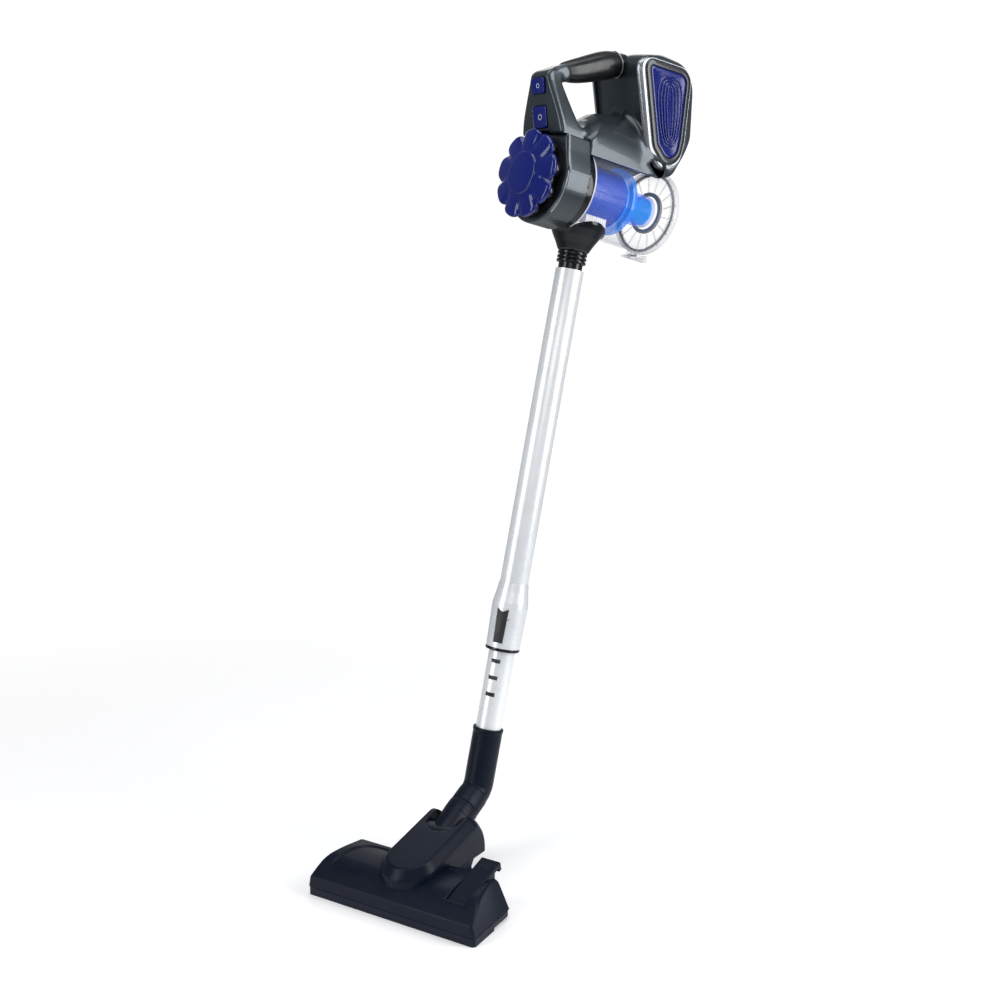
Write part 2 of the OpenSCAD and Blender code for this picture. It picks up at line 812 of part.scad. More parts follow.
module fan_wheel() {
    color("silver") in_body() translate([motor_at[0], 0, motor_at[1]]) difference() {
        union() {
            around_y(75, 1.5, 27);
            around_y(67, 8.1, 8);
            for (i = [0:8]) rotate([0, i * 40, 0]) box([-0.7, 68, 6], [0.7, 75.1, 26]);
        }
        around_y(64, 20, 3);
    }
}
module motor_mounts() {
    color(rubber_black) in_body() translate([motor_at[0], 0, motor_at[1]]) {
        ring_y(65, 5, 33.5, 31);
        ring_y(95, 5, 28, 24);
    }
}
module exhaust_filters() {
    color("gainsboro") in_body() both_sides() box([39.2, 62, 86], [41.5, 96, 146]);
}
module cord_gland() {
    color(rubber_black) in_body() translate([0, 0, gland_h]) difference() {
        union() {
            around_y(118, 15, 6);
            around_y(118, 3, 8);
        }
        around_y(117, 17, 3.2);
    }
}
module housing_screws() {
    color(steel) in_body() for (p = case_screws) along_x(-10, 20, 1.5, p[0], p[1]);
}

head_sole();
head_shell();
neck_cowl();
lint_strips();
bristle_carriage();
bristle_rows();
pedal();
pedal_pin();
roller_left();
roller_right();
roller_axles();
head_screws();
neck_drum();
neck_pins();
elbow();
swivel_ring();
swivel_seal();
inner_tube();
slide_bush();
outer_tube();
tube_sleeve();
sleeve_end_ring();
release_button();
release_pin();
inlet_neck();
front_mask();
mask_recess();
front_filter();
knob_skirt();
filter_knob();
cup_collar();
dust_cup();
cyclone_body();
mesh_screen();
outlet_tube();
outlet_disc();
cup_cap();
cap_boss();
cap_seal();
cap_hinge_pin();
cap_latch();
latch_pin();
housing_left();
housing_right();
grip();
vent_frame_left();
vent_frame_right();
vent_cover_left();
vent_cover_right();
power_button();
speed_button();
switch_board();
motor_case();
rotor_shaft();
fan_wheel();
motor_mounts();
exhaust_filters();
cord_gland();
housing_screws();
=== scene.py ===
# Corded stick vacuum cleaner: the visual model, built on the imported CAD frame.
import math
import bpy
import numpy as np
from mathutils import Matrix, Vector


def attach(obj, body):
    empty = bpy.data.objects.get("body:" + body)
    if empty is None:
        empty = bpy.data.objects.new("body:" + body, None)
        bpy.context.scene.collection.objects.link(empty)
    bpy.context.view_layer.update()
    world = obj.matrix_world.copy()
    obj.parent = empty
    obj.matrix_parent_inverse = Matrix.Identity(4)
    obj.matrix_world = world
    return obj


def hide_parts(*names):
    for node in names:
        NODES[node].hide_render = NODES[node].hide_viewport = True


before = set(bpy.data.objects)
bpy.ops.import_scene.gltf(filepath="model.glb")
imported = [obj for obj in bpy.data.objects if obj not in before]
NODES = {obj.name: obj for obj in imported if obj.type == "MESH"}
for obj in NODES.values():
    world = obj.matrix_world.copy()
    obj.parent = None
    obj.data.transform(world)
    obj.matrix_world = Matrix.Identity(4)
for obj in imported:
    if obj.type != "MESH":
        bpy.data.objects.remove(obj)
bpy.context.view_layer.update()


# ---- Local frames, in millimetres: floor head, neck tube, wand and hand unit ----
def move(x, y, z):
    return Matrix.Translation((x, y, z))


def turn(axis, degrees):
    return Matrix.Rotation(math.radians(degrees), 4, axis)


ELBOW_BEND = 53.2
HEAD = move(0, -55, 0)
COLLAR = move(0, 132.6, 92.3) @ turn("X", -65.6)
SWIVEL = COLLAR @ turn("Z", 5.4)
WAND = SWIVEL @ turn("X", ELBOW_BEND)
BODY = WAND @ move(0, 0, 746.7) @ turn("Z", -22.8)
PANEL = BODY @ move(0, -88.7, 86) @ turn("X", 90 + 18.4)
PEDAL = HEAD @ move(82, 19, 36.6) @ turn("X", 16.4)
SIDES = ((1, "right"), (-1, "left"))
TRIM_SIDES = 10


# ---- Mesh helpers ----
def piece(name, verts, faces, place, body, material, replaces=(), slot=None, sharp=38, uv=None):
    """A smooth-shaded mesh object, drawn in millimetres in a local frame."""
    v = np.asarray(verts, float)
    m = np.array(place)
    v = (v @ m[:3, :3].T + m[:3, 3]) / 1000
    mesh = bpy.data.meshes.new(name)
    mesh.from_pydata(v.tolist(), [], [list(map(int, f)) for f in faces])
    mesh.validate()
    mesh.shade_smooth()
    mesh.set_sharp_from_angle(angle=math.radians(sharp))
    if uv is not None:
        layer = mesh.uv_layers.new(name="UVMap")
        index = np.zeros(len(mesh.loops), int)
        mesh.loops.foreach_get("vertex_index", index)
        layer.data.foreach_set("uv", np.asarray(uv, float)[index].ravel())
    mesh.materials.append(material)
    obj = bpy.data.objects.new(name, mesh)
    bpy.context.scene.collection.objects.link(obj)
    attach(obj, body)
    if replaces:
        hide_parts(*([replaces] if isinstance(replaces, str) else replaces))
    return obj


def circle(count):
    """Evenly spaced angles, once round."""
    return np.linspace(0, 2 * np.pi, count, endpoint=False)


def rounded(points, r, closed=False, steps=4):
    """A polyline with its corners turned into small arcs."""
    pts = [np.array(p, float) for p in points]
    n = len(pts)
    out = []
    for i, p in enumerate(pts):
        if not closed and i in (0, n - 1):
            out.append(p)
            continue
        a, b = pts[i - 1] - p, pts[(i + 1) % n] - p
        la, lb = np.linalg.norm(a), np.linalg.norm(b)
        d = min(r, la * 0.45, lb * 0.45)
        if d < 1e-6:
            out.append(p)
            continue
        s, e = p + a / la * d, p + b / lb * d
        for k in range(steps + 1):
            t = k / steps
            out.append((1 - t) ** 2 * s + 2 * t * (1 - t) * p + t * t * e)
    return out


def lathe(name, profile, place, body, material, axis="z", seg=128, r=0.6, closed=True, limit=None, **kw):
    """A turned piece: profile is (radius, height) points, closed into a ring or ending on the axis."""
    prof = rounded(profile, r, closed)
    n = len(prof)
    ang = circle(seg)
    verts, uv, run = [], [], 0.0
    for i, (rad, h) in enumerate(prof):
        run += 0 if i == 0 else np.linalg.norm(np.array(prof[i]) - prof[i - 1])
        for t in ang:
            a, b = rad * math.cos(t), rad * math.sin(t)
            v = (a, b, h) if axis == "z" else ((a, h, b) if axis == "y" else (h, a, b))
            verts.append(limit(v) if limit else v)
            uv.append((t * 180 / np.pi / 360, run / 100))
    faces = []
    for i in range(n if closed else n - 1):
        j = (i + 1) % n
        for k in range(seg):
            m = (k + 1) % seg
            faces.append((i * seg + k, i * seg + m, j * seg + m, j * seg + k))
    area = sum(prof[i][0] * prof[(i + 1) % n][1] - prof[(i + 1) % n][0] * prof[i][1] for i in range(n))
    if (area < 0) == (axis != "y"):
        faces = [f[::-1] for f in faces]
    return piece(name, verts, faces, place, body, material, uv=uv, **kw)


def sweep(name, path, radii, place, body, material, seg=64, squeeze=1.0, **kw):
    """A round tube of changing radius along a path in the local YZ plane, closed at both ends."""
    path = np.array(path, float)
    verts, faces, uv = [], [], []
    tan = np.gradient(path, axis=0)
    for i in range(len(path)):
        if np.linalg.norm(tan[i]) < 1e-9:
            tan[i] = tan[i - 1]
    tan /= np.linalg.norm(tan, axis=1)[:, None]
    for i, (p, t, r) in enumerate(zip(path, tan, radii)):
        side = np.array([1.0, 0, 0])
        up = np.cross(t, side)
        for k in range(seg):
            a = 2 * np.pi * k / seg
            verts.append(p + r * (math.cos(a) * side * squeeze + math.sin(a) * up))
            uv.append((k / seg, i / len(path)))
    for i in range(len(path) - 1):
        for k in range(seg):
            m = (k + 1) % seg
            faces.append((i * seg + k, i * seg + m, (i + 1) * seg + m, (i + 1) * seg + k))
    faces.append(tuple(range(seg))[::-1])
    faces.append(tuple(range((len(path) - 1) * seg, len(path) * seg)))
    return piece(name, verts, faces, place, body, material, uv=uv, **kw)


# ---- Solid forms as distance fields ----
def smax(a, b, k):
    h = np.clip(0.5 + 0.5 * (a - b) / k, 0, 1)
    return b + (a - b) * h + k * h * (1 - h)


def smin(a, b, k):
    return -smax(-a, -b, k)


def step01(x):
    x = np.clip(x, 0, 1)
    return x * x * (3 - 2 * x)


def hull2(x, y, z, narrow, wide, a, b, bulge=0.5):
    """Hull of circles (y, z, r): narrow ones reach |x| = a and wide ones reach |x| = b."""
    s = np.clip((np.abs(x) - a) / (b - a), 0, 1)
    f = (1 - s) * (1 - bulge) + bulge * np.sqrt(1 - s * s)
    d = np.full(np.broadcast(x, y, z).shape, -1e9)
    for t in circle(72):
        c, e = math.cos(t), math.sin(t)
        wide_s = max(p[0] * c + p[1] * e + p[2] for p in wide)
        all_s = max(wide_s, max(p[0] * c + p[1] * e + p[2] for p in narrow))
        d = np.maximum(d, y * c + z * e - (wide_s + (all_s - wide_s) * f))
    return d


def box_field(x, y, z, lo, hi, r=0.0):
    c = [(lo[i] + hi[i]) / 2 for i in range(3)]
    h = [(hi[i] - lo[i]) / 2 - r for i in range(3)]
    q = [np.abs(v - c[i]) - h[i] for i, v in enumerate((x, y, z))]
    out = np.sqrt(sum(np.maximum(v, 0) ** 2 for v in q))
    return out + np.minimum(np.maximum(np.maximum(q[0], q[1]), q[2]), 0) - r


def local(place, base, x, y, z):
    """Coordinates of a point of the base frame in another frame."""
    m = np.array(place.inverted() @ base)
    return [m[i, 0] * x + m[i, 1] * y + m[i, 2] * z + m[i, 3] for i in range(3)]


def solid(name, field, lo, hi, step, place, body, material, fit=2, **kw):
    """The zero surface of a distance field, as a mesh (surface nets, then pulled onto the surface)."""
    ax = [np.arange(lo[i] - 2 * step, hi[i] + 2.01 * step, step) for i in range(3)]
    x, y, z = np.meshgrid(*ax, indexing="ij", sparse=True)
    f = np.broadcast_to(field(x, y, z), [len(a) for a in ax]).copy()
    n = [len(a) - 1 for a in ax]
    count = np.zeros(n)
    total = np.zeros(n + [3])

    def cut(c):
        return f[c[0]:c[0] + n[0], c[1]:c[1] + n[1], c[2]:c[2] + n[2]]

    for axis in range(3):
        for p in (0, 1):
            for q in (0, 1):
                a = [0, 0, 0]
                a[(axis + 1) % 3], a[(axis + 2) % 3] = p, q
                b = list(a)
                b[axis] = 1
                fa, fb = cut(a), cut(b)
                hit = (fa < 0) != (fb < 0)
                t = np.where(hit, fa / np.where(hit, fa - fb, 1), 0)
                for i in range(3):
                    total[..., i] += np.where(hit, t if i == axis else a[i], 0)
                count += hit
    live = count > 0
    index = np.full(n, -1)
    index[live] = np.arange(live.sum())
    cell = np.argwhere(live)
    v = (cell + total[live] / count[live][:, None]) * step + [a[0] for a in ax]
    faces = []
    for axis in range(3):
        u, w = (axis + 1) % 3, (axis + 2) % 3
        s = f < 0
        one = [slice(1, -1)] * 3
        one[axis] = slice(0, -1)
        two = list(one)
        two[axis] = slice(1, None)
        flip = s[tuple(one)] != s[tuple(two)]
        at = np.argwhere(flip)
        start = s[tuple(one)][flip]
        at[:, u] += 1
        at[:, w] += 1
        quad = []
        for du, dw in ((1, 1), (0, 1), (0, 0), (1, 0)):
            c = at.copy()
            c[:, u] -= du
            c[:, w] -= dw
            quad.append(index[c[:, 0], c[:, 1], c[:, 2]])
        quad = np.stack(quad, 1)
        faces.append(np.where(start[:, None], quad, quad[:, ::-1]))
    faces = np.concatenate(faces)
    e = step * 0.2
    for _ in range(fit):
        d = field(v[:, 0], v[:, 1], v[:, 2])
        g = np.stack([(field(*(v + e * k).T) - field(*(v - e * k).T)) / (2 * e) for k in np.eye(3)], 1)
        move_by = d[:, None] * g / np.maximum((g * g).sum(1), 0.3)[:, None]
        v = v - np.clip(move_by, -0.5 * step, 0.5 * step)
    return piece(name, v, faces, place, body, material, **kw)


def trim(name, points, r, place, body, material, bend=3.0, ring=False, **kw):
    """A thin raised line of trim along a path in space."""
    path = np.array(points if ring else rounded(points, bend))
    if ring:
        run = np.roll(path, -1, 0) - np.roll(path, 1, 0)
    else:
        run = np.gradient(path, axis=0)
    run /= np.maximum(np.linalg.norm(run, axis=1), 1e-9)[:, None]
    loops = []
    for q, d in zip(path, run):
        u = np.cross(d, (0.3, 1.0, 0.2))
        u /= np.linalg.norm(u)
        w = np.cross(d, u)
        loops.append([q + r * (math.cos(a) * u + math.sin(a) * w) for a in circle(TRIM_SIDES)])
    return rings(name, loops + loops[:1] if ring else loops, place, body, material, cap=not ring, **kw)


def rings(name, loops, place, body, material, cap=True, **kw):
    """A skin over closed loops that all have the same number of points."""
    k = len(loops[0])
    verts = np.concatenate([np.asarray(l, float) for l in loops])
    faces = []
    for i in range(len(loops) - 1):
        for j in range(k):
            m = (j + 1) % k
            faces.append((i * k + j, i * k + m, (i + 1) * k + m, (i + 1) * k + j))
    if cap:
        faces.append(tuple(range(k))[::-1])
        faces.append(tuple(range((len(loops) - 1) * k, len(loops) * k)))
    return piece(name, verts, faces, place, body, material, **kw)


# ---- Materials ----
MIX_A, MIX_B, MIX_RESULT = 6, 7, 2  # the colour sockets of a mix node


def shader(nt, kind, **values):
    """A new shader node; values go to the inputs of those names, with a space for each underscore."""
    made = nt.nodes.new("ShaderNode" + kind)
    for key, value in values.items():
        made.inputs[key.replace("_", " ")].default_value = value
    return made


def ramp_of(nt, low, high, low_color=None, high_color=None):
    """A colour ramp between two positions."""
    made = nt.nodes.new("ShaderNodeValToRGB")
    for element, at, color in zip(made.color_ramp.elements, (low, high), (low_color, high_color)):
        element.position = at
        if color:
            element.color = (*color, 1)
    return made


def raised(nt, bsdf, height, strength, distance):
    """Bump from a node's output, into the surface's normal."""
    relief = shader(nt, "Bump", Strength=strength, Distance=distance)
    nt.links.new(height, relief.inputs["Height"])
    nt.links.new(relief.outputs["Normal"], bsdf.inputs["Normal"])


def material(name, color, rough=0.3, metal=0.0, coat=0.0, coat_rough=0.06, vary=0.12, grain=900.0,
             bump=0.02, rough_vary=0.08, edge_glint=0.0, sheen=0.0, alpha=1.0, emit=0.0, shine=0.5):
    """Moulded plastic, metal or rubber: colour drift, fine grain and uneven gloss, all from noise, with an
    optional painted highlight on sharp convex edges and an optional painted glow.
    """
    mat = bpy.data.materials.new(name)
    mat.use_nodes = True
    nt = mat.node_tree
    bsdf = nt.nodes["Principled BSDF"]
    bsdf.inputs["Metallic"].default_value = metal
    bsdf.inputs["Specular IOR Level"].default_value = shine
    bsdf.inputs["Coat Weight"].default_value = coat
    bsdf.inputs["Coat Roughness"].default_value = coat_rough
    bsdf.inputs["Sheen Weight"].default_value = sheen
    bsdf.inputs["Alpha"].default_value = alpha
    # Painted glow: the surface emits its own colour, though it is no lamp.
    if emit:
        bsdf.inputs["Emission Color"].default_value = (*color, 1)
        bsdf.inputs["Emission Strength"].default_value = emit
    where = shader(nt, "TexCoord")
    cloud = shader(nt, "TexNoise", Scale=14, Detail=5)
    nt.links.new(where.outputs["Object"], cloud.inputs["Vector"])
    ramp = ramp_of(nt, 0.3, 0.7, [c * (1 - vary) for c in color], [min(1, c * (1 + vary)) for c in color])
    nt.links.new(cloud.outputs["Fac"], ramp.inputs["Fac"])
    tint = ramp.outputs["Color"]
    # Painted highlight: sharp convex edges (high pointiness) are lightened towards a paler copy of the
    # colour.
    if edge_glint:
        edge = shader(nt, "NewGeometry")
        mask = ramp_of(nt, 0.53, 0.62)
        nt.links.new(edge.outputs["Pointiness"], mask.inputs["Fac"])
        mix = shader(nt, "Mix")
        mix.data_type = "RGBA"
        nt.links.new(mask.outputs["Color"], mix.inputs["Factor"])
        nt.links.new(tint, mix.inputs[MIX_A])
        mix.inputs[MIX_B].default_value = (*[min(1, c * (1 + edge_glint) + 0.02 * edge_glint) for c in color], 1)
        tint = mix.outputs[MIX_RESULT]
    nt.links.new(tint, bsdf.inputs["Base Color"])
    smudge = shader(nt, "TexNoise", Scale=45, Detail=6)
    nt.links.new(where.outputs["Object"], smudge.inputs["Vector"])
    gloss = shader(nt, "MapRange", From_Min=0.3, From_Max=0.7, To_Min=max(0.02, rough - rough_vary),
                   To_Max=rough + rough_vary)
    nt.links.new(smudge.outputs["Fac"], gloss.inputs["Value"])
    nt.links.new(gloss.outputs["Result"], bsdf.inputs["Roughness"])
    fine = shader(nt, "TexNoise", Scale=grain, Detail=3)
    nt.links.new(where.outputs["Object"], fine.inputs["Vector"])
    raised(nt, bsdf, fine.outputs["Fac"], bump, 0.001)
    return mat


def clear(name, color, low=0.1, high=0.7, rough=0.05, emit=0.0):
    """Clear moulding: nearly unseen face on, denser at its edges."""
    mat = material(name, color, rough=rough, rough_vary=0.02, vary=0.04, bump=0.01, coat=0.3, emit=emit)
    nt = mat.node_tree
    facing = shader(nt, "LayerWeight", Blend=0.35)
    density = shader(nt, "MapRange", From_Min=0.25, To_Min=low, To_Max=high)
    nt.links.new(facing.outputs["Facing"], density.inputs["Value"])
    nt.links.new(density.outputs["Result"], nt.nodes["Principled BSDF"].inputs["Alpha"])
    return mat


def brushed(name, color, rough, along=260.0, across=4.0, strength=0.05):
    """Drawn metal: fine streaks along the UV's second direction."""
    mat = material(name, color, rough=rough, metal=0.4, rough_vary=0.05, vary=0.03, bump=0.01)
    nt = mat.node_tree
    uv = shader(nt, "UVMap")
    scale = shader(nt, "Mapping", Scale=(along, across, 1))
    nt.links.new(uv.outputs["UV"], scale.inputs["Vector"])
    streak = shader(nt, "TexNoise", Scale=1, Detail=4)
    nt.links.new(scale.outputs["Vector"], streak.inputs["Vector"])
    raised(nt, nt.nodes["Principled BSDF"], streak.outputs["Fac"], strength, 0.0004)
    return mat


def screen_mesh(name):
    """Woven blue filter screen: two sets of diagonal threads."""
    # A faint painted glow brightens the screen's blue.
    mat = material(name, (0.012, 0.05, 0.42), rough=0.32, coat=0.2, emit=0.12)
    nt = mat.node_tree
    bsdf = nt.nodes["Principled BSDF"]
    uv = shader(nt, "UVMap")
    threads = []
    for angle in (38, -38):
        spin = shader(nt, "Mapping", Rotation=(0, 0, math.radians(angle)), Scale=(2.17, 1, 1))
        wave = shader(nt, "TexWave", Scale=14)
        nt.links.new(uv.outputs["UV"], spin.inputs["Vector"])
        nt.links.new(spin.outputs["Vector"], wave.inputs["Vector"])
        threads.append(wave.outputs["Fac"])
    both = shader(nt, "Math")
    both.operation = "MAXIMUM"
    nt.links.new(threads[0], both.inputs[0])
    nt.links.new(threads[1], both.inputs[1])
    ramp = ramp_of(nt, 0.35, 0.8, (0.003, 0.012, 0.16), (0.012, 0.09, 0.62))
    nt.links.new(both.outputs["Value"], ramp.inputs["Fac"])
    nt.links.new(ramp.outputs["Color"], bsdf.inputs["Base Color"])
    raised(nt, bsdf, both.outputs["Value"], 0.5, 0.0006)
    return mat


PAINT = {"coat": 0.4, "grain": 5200, "bump": 0.012, "vary": 0.05}
# Satin navy black for the head, with a painted highlight lightening its convex edges.
NAVY = material("satin_navy_black", (0.0035, 0.0065, 0.016), 0.36, shine=0.13, grain=2600, bump=0.03,
                edge_glint=0.3)
GRAPHITE = material("graphite_paint", (0.040, 0.052, 0.062), 0.3, metal=0.6, rough_vary=0.03, **PAINT)
FRAME = material("dark_graphite", (0.012, 0.014, 0.018), 0.28, metal=0.3, rough_vary=0.03, **PAINT)
# Painted highlight: a light metallic paint for the thin bands and lines that stand in for bright bevels and
# edges.
EDGE_GLINT = material("painted_edge_highlight", (0.30, 0.32, 0.35), 0.28, metal=0.7, **PAINT)
BLACK_GLOSS = material("black_gloss", (0.004, 0.005, 0.008), 0.16, coat=0.2, shine=0.3, bump=0.01)
BLACK = material("black_matte", (0.014, 0.014, 0.016), 0.5, grain=2400, bump=0.08)
GRIP = material("soft_grip", (0.006, 0.007, 0.009), 0.3, shine=0.4, grain=3200, bump=0.012)
RUBBER = material("black_rubber", (0.018, 0.018, 0.018), 0.65, grain=1800, bump=0.12)
BLUE = material("deep_blue_gloss", (0.0005, 0.008, 0.145), 0.14, coat=0.3, shine=0.35, vary=0.06, bump=0.008,
                rough_vary=0.04)
SILVER = material("silver_paint", (0.80, 0.83, 0.86), 0.3, metal=0.35, coat=0.4, grain=5200, bump=0.02,
                  vary=0.03)
ALU = brushed("anodised_tube", (0.88, 0.91, 0.93), 0.3)
STEEL = material("turned_steel", (0.52, 0.53, 0.55), 0.3, metal=1.0, bump=0.05, grain=3000)
GREY = material("grey_plastic", (0.24, 0.25, 0.26), 0.42, bump=0.05, grain=2400)
# Painted glow: the white plastic emits light, though it is no lamp.
WHITE = material("white_plastic", (0.80, 0.81, 0.83), 0.4, bump=0.04, emit=0.25)
CLEAR = clear("clear_cup", (0.62, 0.63, 0.70), 0.02, 0.36)
CLEAR_EDGE = clear("clear_edge", (0.50, 0.52, 0.57), 0.2, 0.8)
# Painted highlight: a near-opaque pale ring stands in for the glint on the clear cup's front rim.
RIM_GLINT = clear("painted_rim_glint", (0.80, 0.82, 0.86), 0.75, 0.97)
# Painted glow: these blue and cyan clear mouldings and the cyan disc emit light, though they are no lamps.
BLUE_CLEAR = clear("clear_blue", (0.008, 0.10, 0.85), 0.62, 0.95, emit=0.25)
OUTLET = clear("clear_outlet", (0.008, 0.16, 0.92), 0.22, 0.85, emit=0.2)
CYAN = clear("clear_cyan", (0.012, 0.26, 0.88), 0.6, 0.97, emit=0.25)
CYAN_DISC = material("cyan_disc", (0.03, 0.50, 0.80), 0.25, coat=0.4, emit=0.45)
SCREEN = screen_mesh("filter_screen")
FILTER = material("filter_foam", (0.62, 0.61, 0.57), 0.95, grain=1500, bump=0.5, sheen=0.3)
PILE = material("lint_pile", (0.30, 0.02, 0.02), 0.95, grain=2600, bump=0.8, sheen=0.6)
BRISTLE = material("nylon_bristle", (0.06, 0.06, 0.07), 0.5, grain=1500, bump=0.1)
BOARD = material("circuit_board", (0.01, 0.09, 0.035), 0.4, coat=0.2, bump=0.1)

for names, mat in (
        ("head_sole", NAVY), ("lint_strips", PILE), ("bristle_carriage", GREY), ("bristle_rows", BRISTLE),
        ("roller_left roller_right", GREY), ("slide_bush", WHITE), ("inner_tube outer_tube", ALU),
        ("tube_sleeve", SILVER), ("release_button", BLACK), ("mask_recess", BLACK),
        ("front_filter exhaust_filters", FILTER), ("fan_wheel", GREY), ("motor_mounts cord_gland", RUBBER),
        ("swivel_seal cap_seal", RUBBER), ("switch_board", BOARD),
        ("neck_pins pedal_pin roller_axles head_screws release_pin cap_hinge_pin latch_pin motor_case",
         STEEL),
        ("rotor_shaft housing_screws", STEEL)):
    for node in names.split():
        for s in NODES[node].material_slots:
            s.material = mat


# ---- Floor head ----
def shell_field(x, y, z):
    wide = 119 - 3.6 * y / 75
    lean = 0.19 + 0.30 * step01(y / 80)
    side = (np.abs(x) - (wide - lean * (z - 9.6))) / np.sqrt(1 + lean ** 2)
    top = -y
    edge = [(0, 24), (3, 26.5), (9, 31.8), (18, 38.8), (29, 43.6), (46, 46.3), (62, 46.8), (76, 45.6),
            (81, 40)]
    for (y0, z0), (y1, z1) in zip(edge, edge[1:]):
        n = math.hypot(y1 - y0, z1 - z0)
        top = smax(top, ((z - z0) * (y1 - y0) - (y - y0) * (z1 - z0)) / n, 1.2)
    top = smax(top, y - 81, 2.0)
    d = smax(top, side, 3.0)
    inner = smin(wide - lean * 34 - 13 - np.abs(x), 69.5 - y, 26)
    dish = step01(inner / 2.6) * step01((y - 10) / 22)
    return d + 1.7 * dish * step01((z - 30) / 6)


def head_shell(x, y, z):
    d = shell_field(x, y, z)
    d = np.maximum(d, -(d + 2.4))
    px, py, pz = local(PEDAL, HEAD, x, y, z)
    pocket = box_field(px, py, pz, (-13.6, -0.9, -17), (13.6, 110, 30), 1.0)
    tray = box_field(px, py, pz, (-16, -3.2, -19.4), (16, 110, 30), 1.0)
    d = np.minimum(d, np.maximum(np.maximum(shell_field(x, y, z), tray), -pocket))
    d = smax(d, -pocket, 0.6)
    d = np.maximum(d, -box_field(x, y, z, (-38, 70, 0), (38, 120, 60), 1.0))
    return np.maximum(d, 9.7 - z)


solid("head_shell_skin", head_shell, (-119, 0, 9), (119, 81, 48), 1.25, HEAD, "head", NAVY,
      replaces="head_shell", slot="black_shell", sharp=50)


def cowl_outer(x, y, z):
    plan = np.sqrt(x * x + np.minimum(y - 46, 0) ** 2)
    plate = (z - 57 - 0.226 * (y - 18)) / 1.025
    bevel = (plan - 28) * 0.78 + plate * 0.63
    d = smax(smax(plan - 36, plate, 1.5), bevel, 1.6)
    rear = np.sqrt(np.maximum(y - 108, 0) ** 2 + np.maximum(z - 39, 0) ** 2) - 48
    cheek = rear + np.maximum(np.abs(x) - 28, 0) * 0.75
    return smax(d, np.maximum(rear, cheek), 3)


def cowl(x, y, z):
    d = cowl_outer(x, y, z)
    d = np.maximum(d, -(d + 2.6))
    slot = np.sqrt(x * x + np.minimum(y - 113, 0) ** 2) - 20.3
    d = smax(d, -slot, 1.2)
    return np.maximum(d, 33 - z)


solid("neck_cowl_skin", cowl, (-36, 10, 32), (36, 156, 82), 1.2, HEAD, "head", NAVY,
      replaces="neck_cowl", slot="black_shell", sharp=50)


def pedal(x, y, z):
    d = box_field(x, y, z, (-13, 0, -6), (13, 76, 0), 1.2)
    d = smin(d, box_field(x, y, z, (-13, 70.5, -11), (13, 76, -1), 1.2), 1.0)
    d = np.minimum(d, box_field(x, y, z, (-12, 37, -11.5), (12, 43, -5), 1))
    for i in range(6):
        d = smin(d, box_field(x, y, z, (-9.2 + i * 3.5, 59, -1), (-7.6 + i * 3.5, 70, 0.9), 0.6), 0.5)
    return smax(d, -(np.sqrt((y - 30) ** 2 + (z - 60) ** 2) - 59.4), 1.0)


solid("pedal_skin", pedal, (-13, 0, -12), (13, 76, 1), 0.8, PEDAL, "pedal", NAVY,
      replaces="pedal", slot="black_shell", sharp=50)

# ---- Tilting neck and elbow ----
NECK_HEAD = move(0, 53, 42)
lathe("neck_drum_skin", [(0.01, -28), (33, -28), (33, 28), (0.01, 28)], NECK_HEAD, "neck", NAVY,
      axis="x", r=1.5, closed=False, replaces="neck_drum", slot="black_shell")
lathe("neck_tube_skin", [(19.4, -84), (19.4, -52), (19.7, -51.2), (19.7, -35.7), (17.1, -35.7), (17.1, -84)],
      COLLAR, "neck", NAVY, r=1.0, slot="black_shell")
lathe("swivel_ring_skin", [(17.0, -35.2), (19.1, -35.2), (19.1, -12), (18.4, -10.6), (17.0, -10.6)], COLLAR,
      "elbow", NAVY, r=1.2, replaces="swivel_ring", slot="black_shell")
BEND_R = 20
BEND_STEPS = 24
bend_t = BEND_R * math.tan(math.radians(ELBOW_BEND / 2))
path, radii = [(0, 0, -bend_t - 0.5)], [18.4]
for k in range(BEND_STEPS + 1):
    a = math.radians(ELBOW_BEND * k / BEND_STEPS)
    path.append((0, -BEND_R + BEND_R * math.cos(a), -bend_t + BEND_R * math.sin(a)))
    radii.append(18.45)
up = np.array([0, -math.sin(math.radians(ELBOW_BEND)), math.cos(math.radians(ELBOW_BEND))])
for s, r in ((30, 18.5), (50, 18.5), (70, 18.5), (73.6, 18.5), (74.2, 18.9), (75, 19.1), (77.4, 19.1),
             (78.1, 18.8), (78.3, 18.2), (78.31, 16.1), (76, 16.1)):
    path.append(tuple(up * s))
    radii.append(r)
sweep("elbow_skin", path, radii, SWIVEL, "elbow", NAVY, seg=96, replaces="elbow", slot="black_shell",
      sharp=50)

# ---- Wand ----
lathe("inner_tube_liner", [(14.8, 196), (15.15, 196), (15.15, 300), (14.8, 300)], WAND, "inner_wand", ALU,
      r=0.1, slot="aluminium_tube")
lathe("outer_tube_skin", [(17.5, 240), (17.5, 651.6), (16.75, 651.6), (16.75, 240)], WAND, "outer_wand", ALU,
      r=0.3, replaces="outer_tube", slot="aluminium_tube")
lathe("sleeve_end_ring_skin", [(16.3, 177), (21.1, 177), (21.4, 179), (21.1, 181), (16.3, 181)], WAND,
      "outer_wand", BLACK_GLOSS, r=0.8, replaces="sleeve_end_ring", slot="black_trim")


# ---- Dust cup unit ----
CUP_SEAT_R = 50.4


def on_cup(v):
    """Trims the cone's top to the round cup that it meets."""
    return (v[0], v[1], min(v[2], -math.sqrt(CUP_SEAT_R ** 2 - v[0] ** 2))) if abs(v[0]) < 50 else v


def turned(name, profile, mat, slot, body="cup_unit", **kw):
    """A turned piece about the cup's axis."""
    return lathe(name, profile, BODY, body, mat, axis="y", slot=slot, **kw)


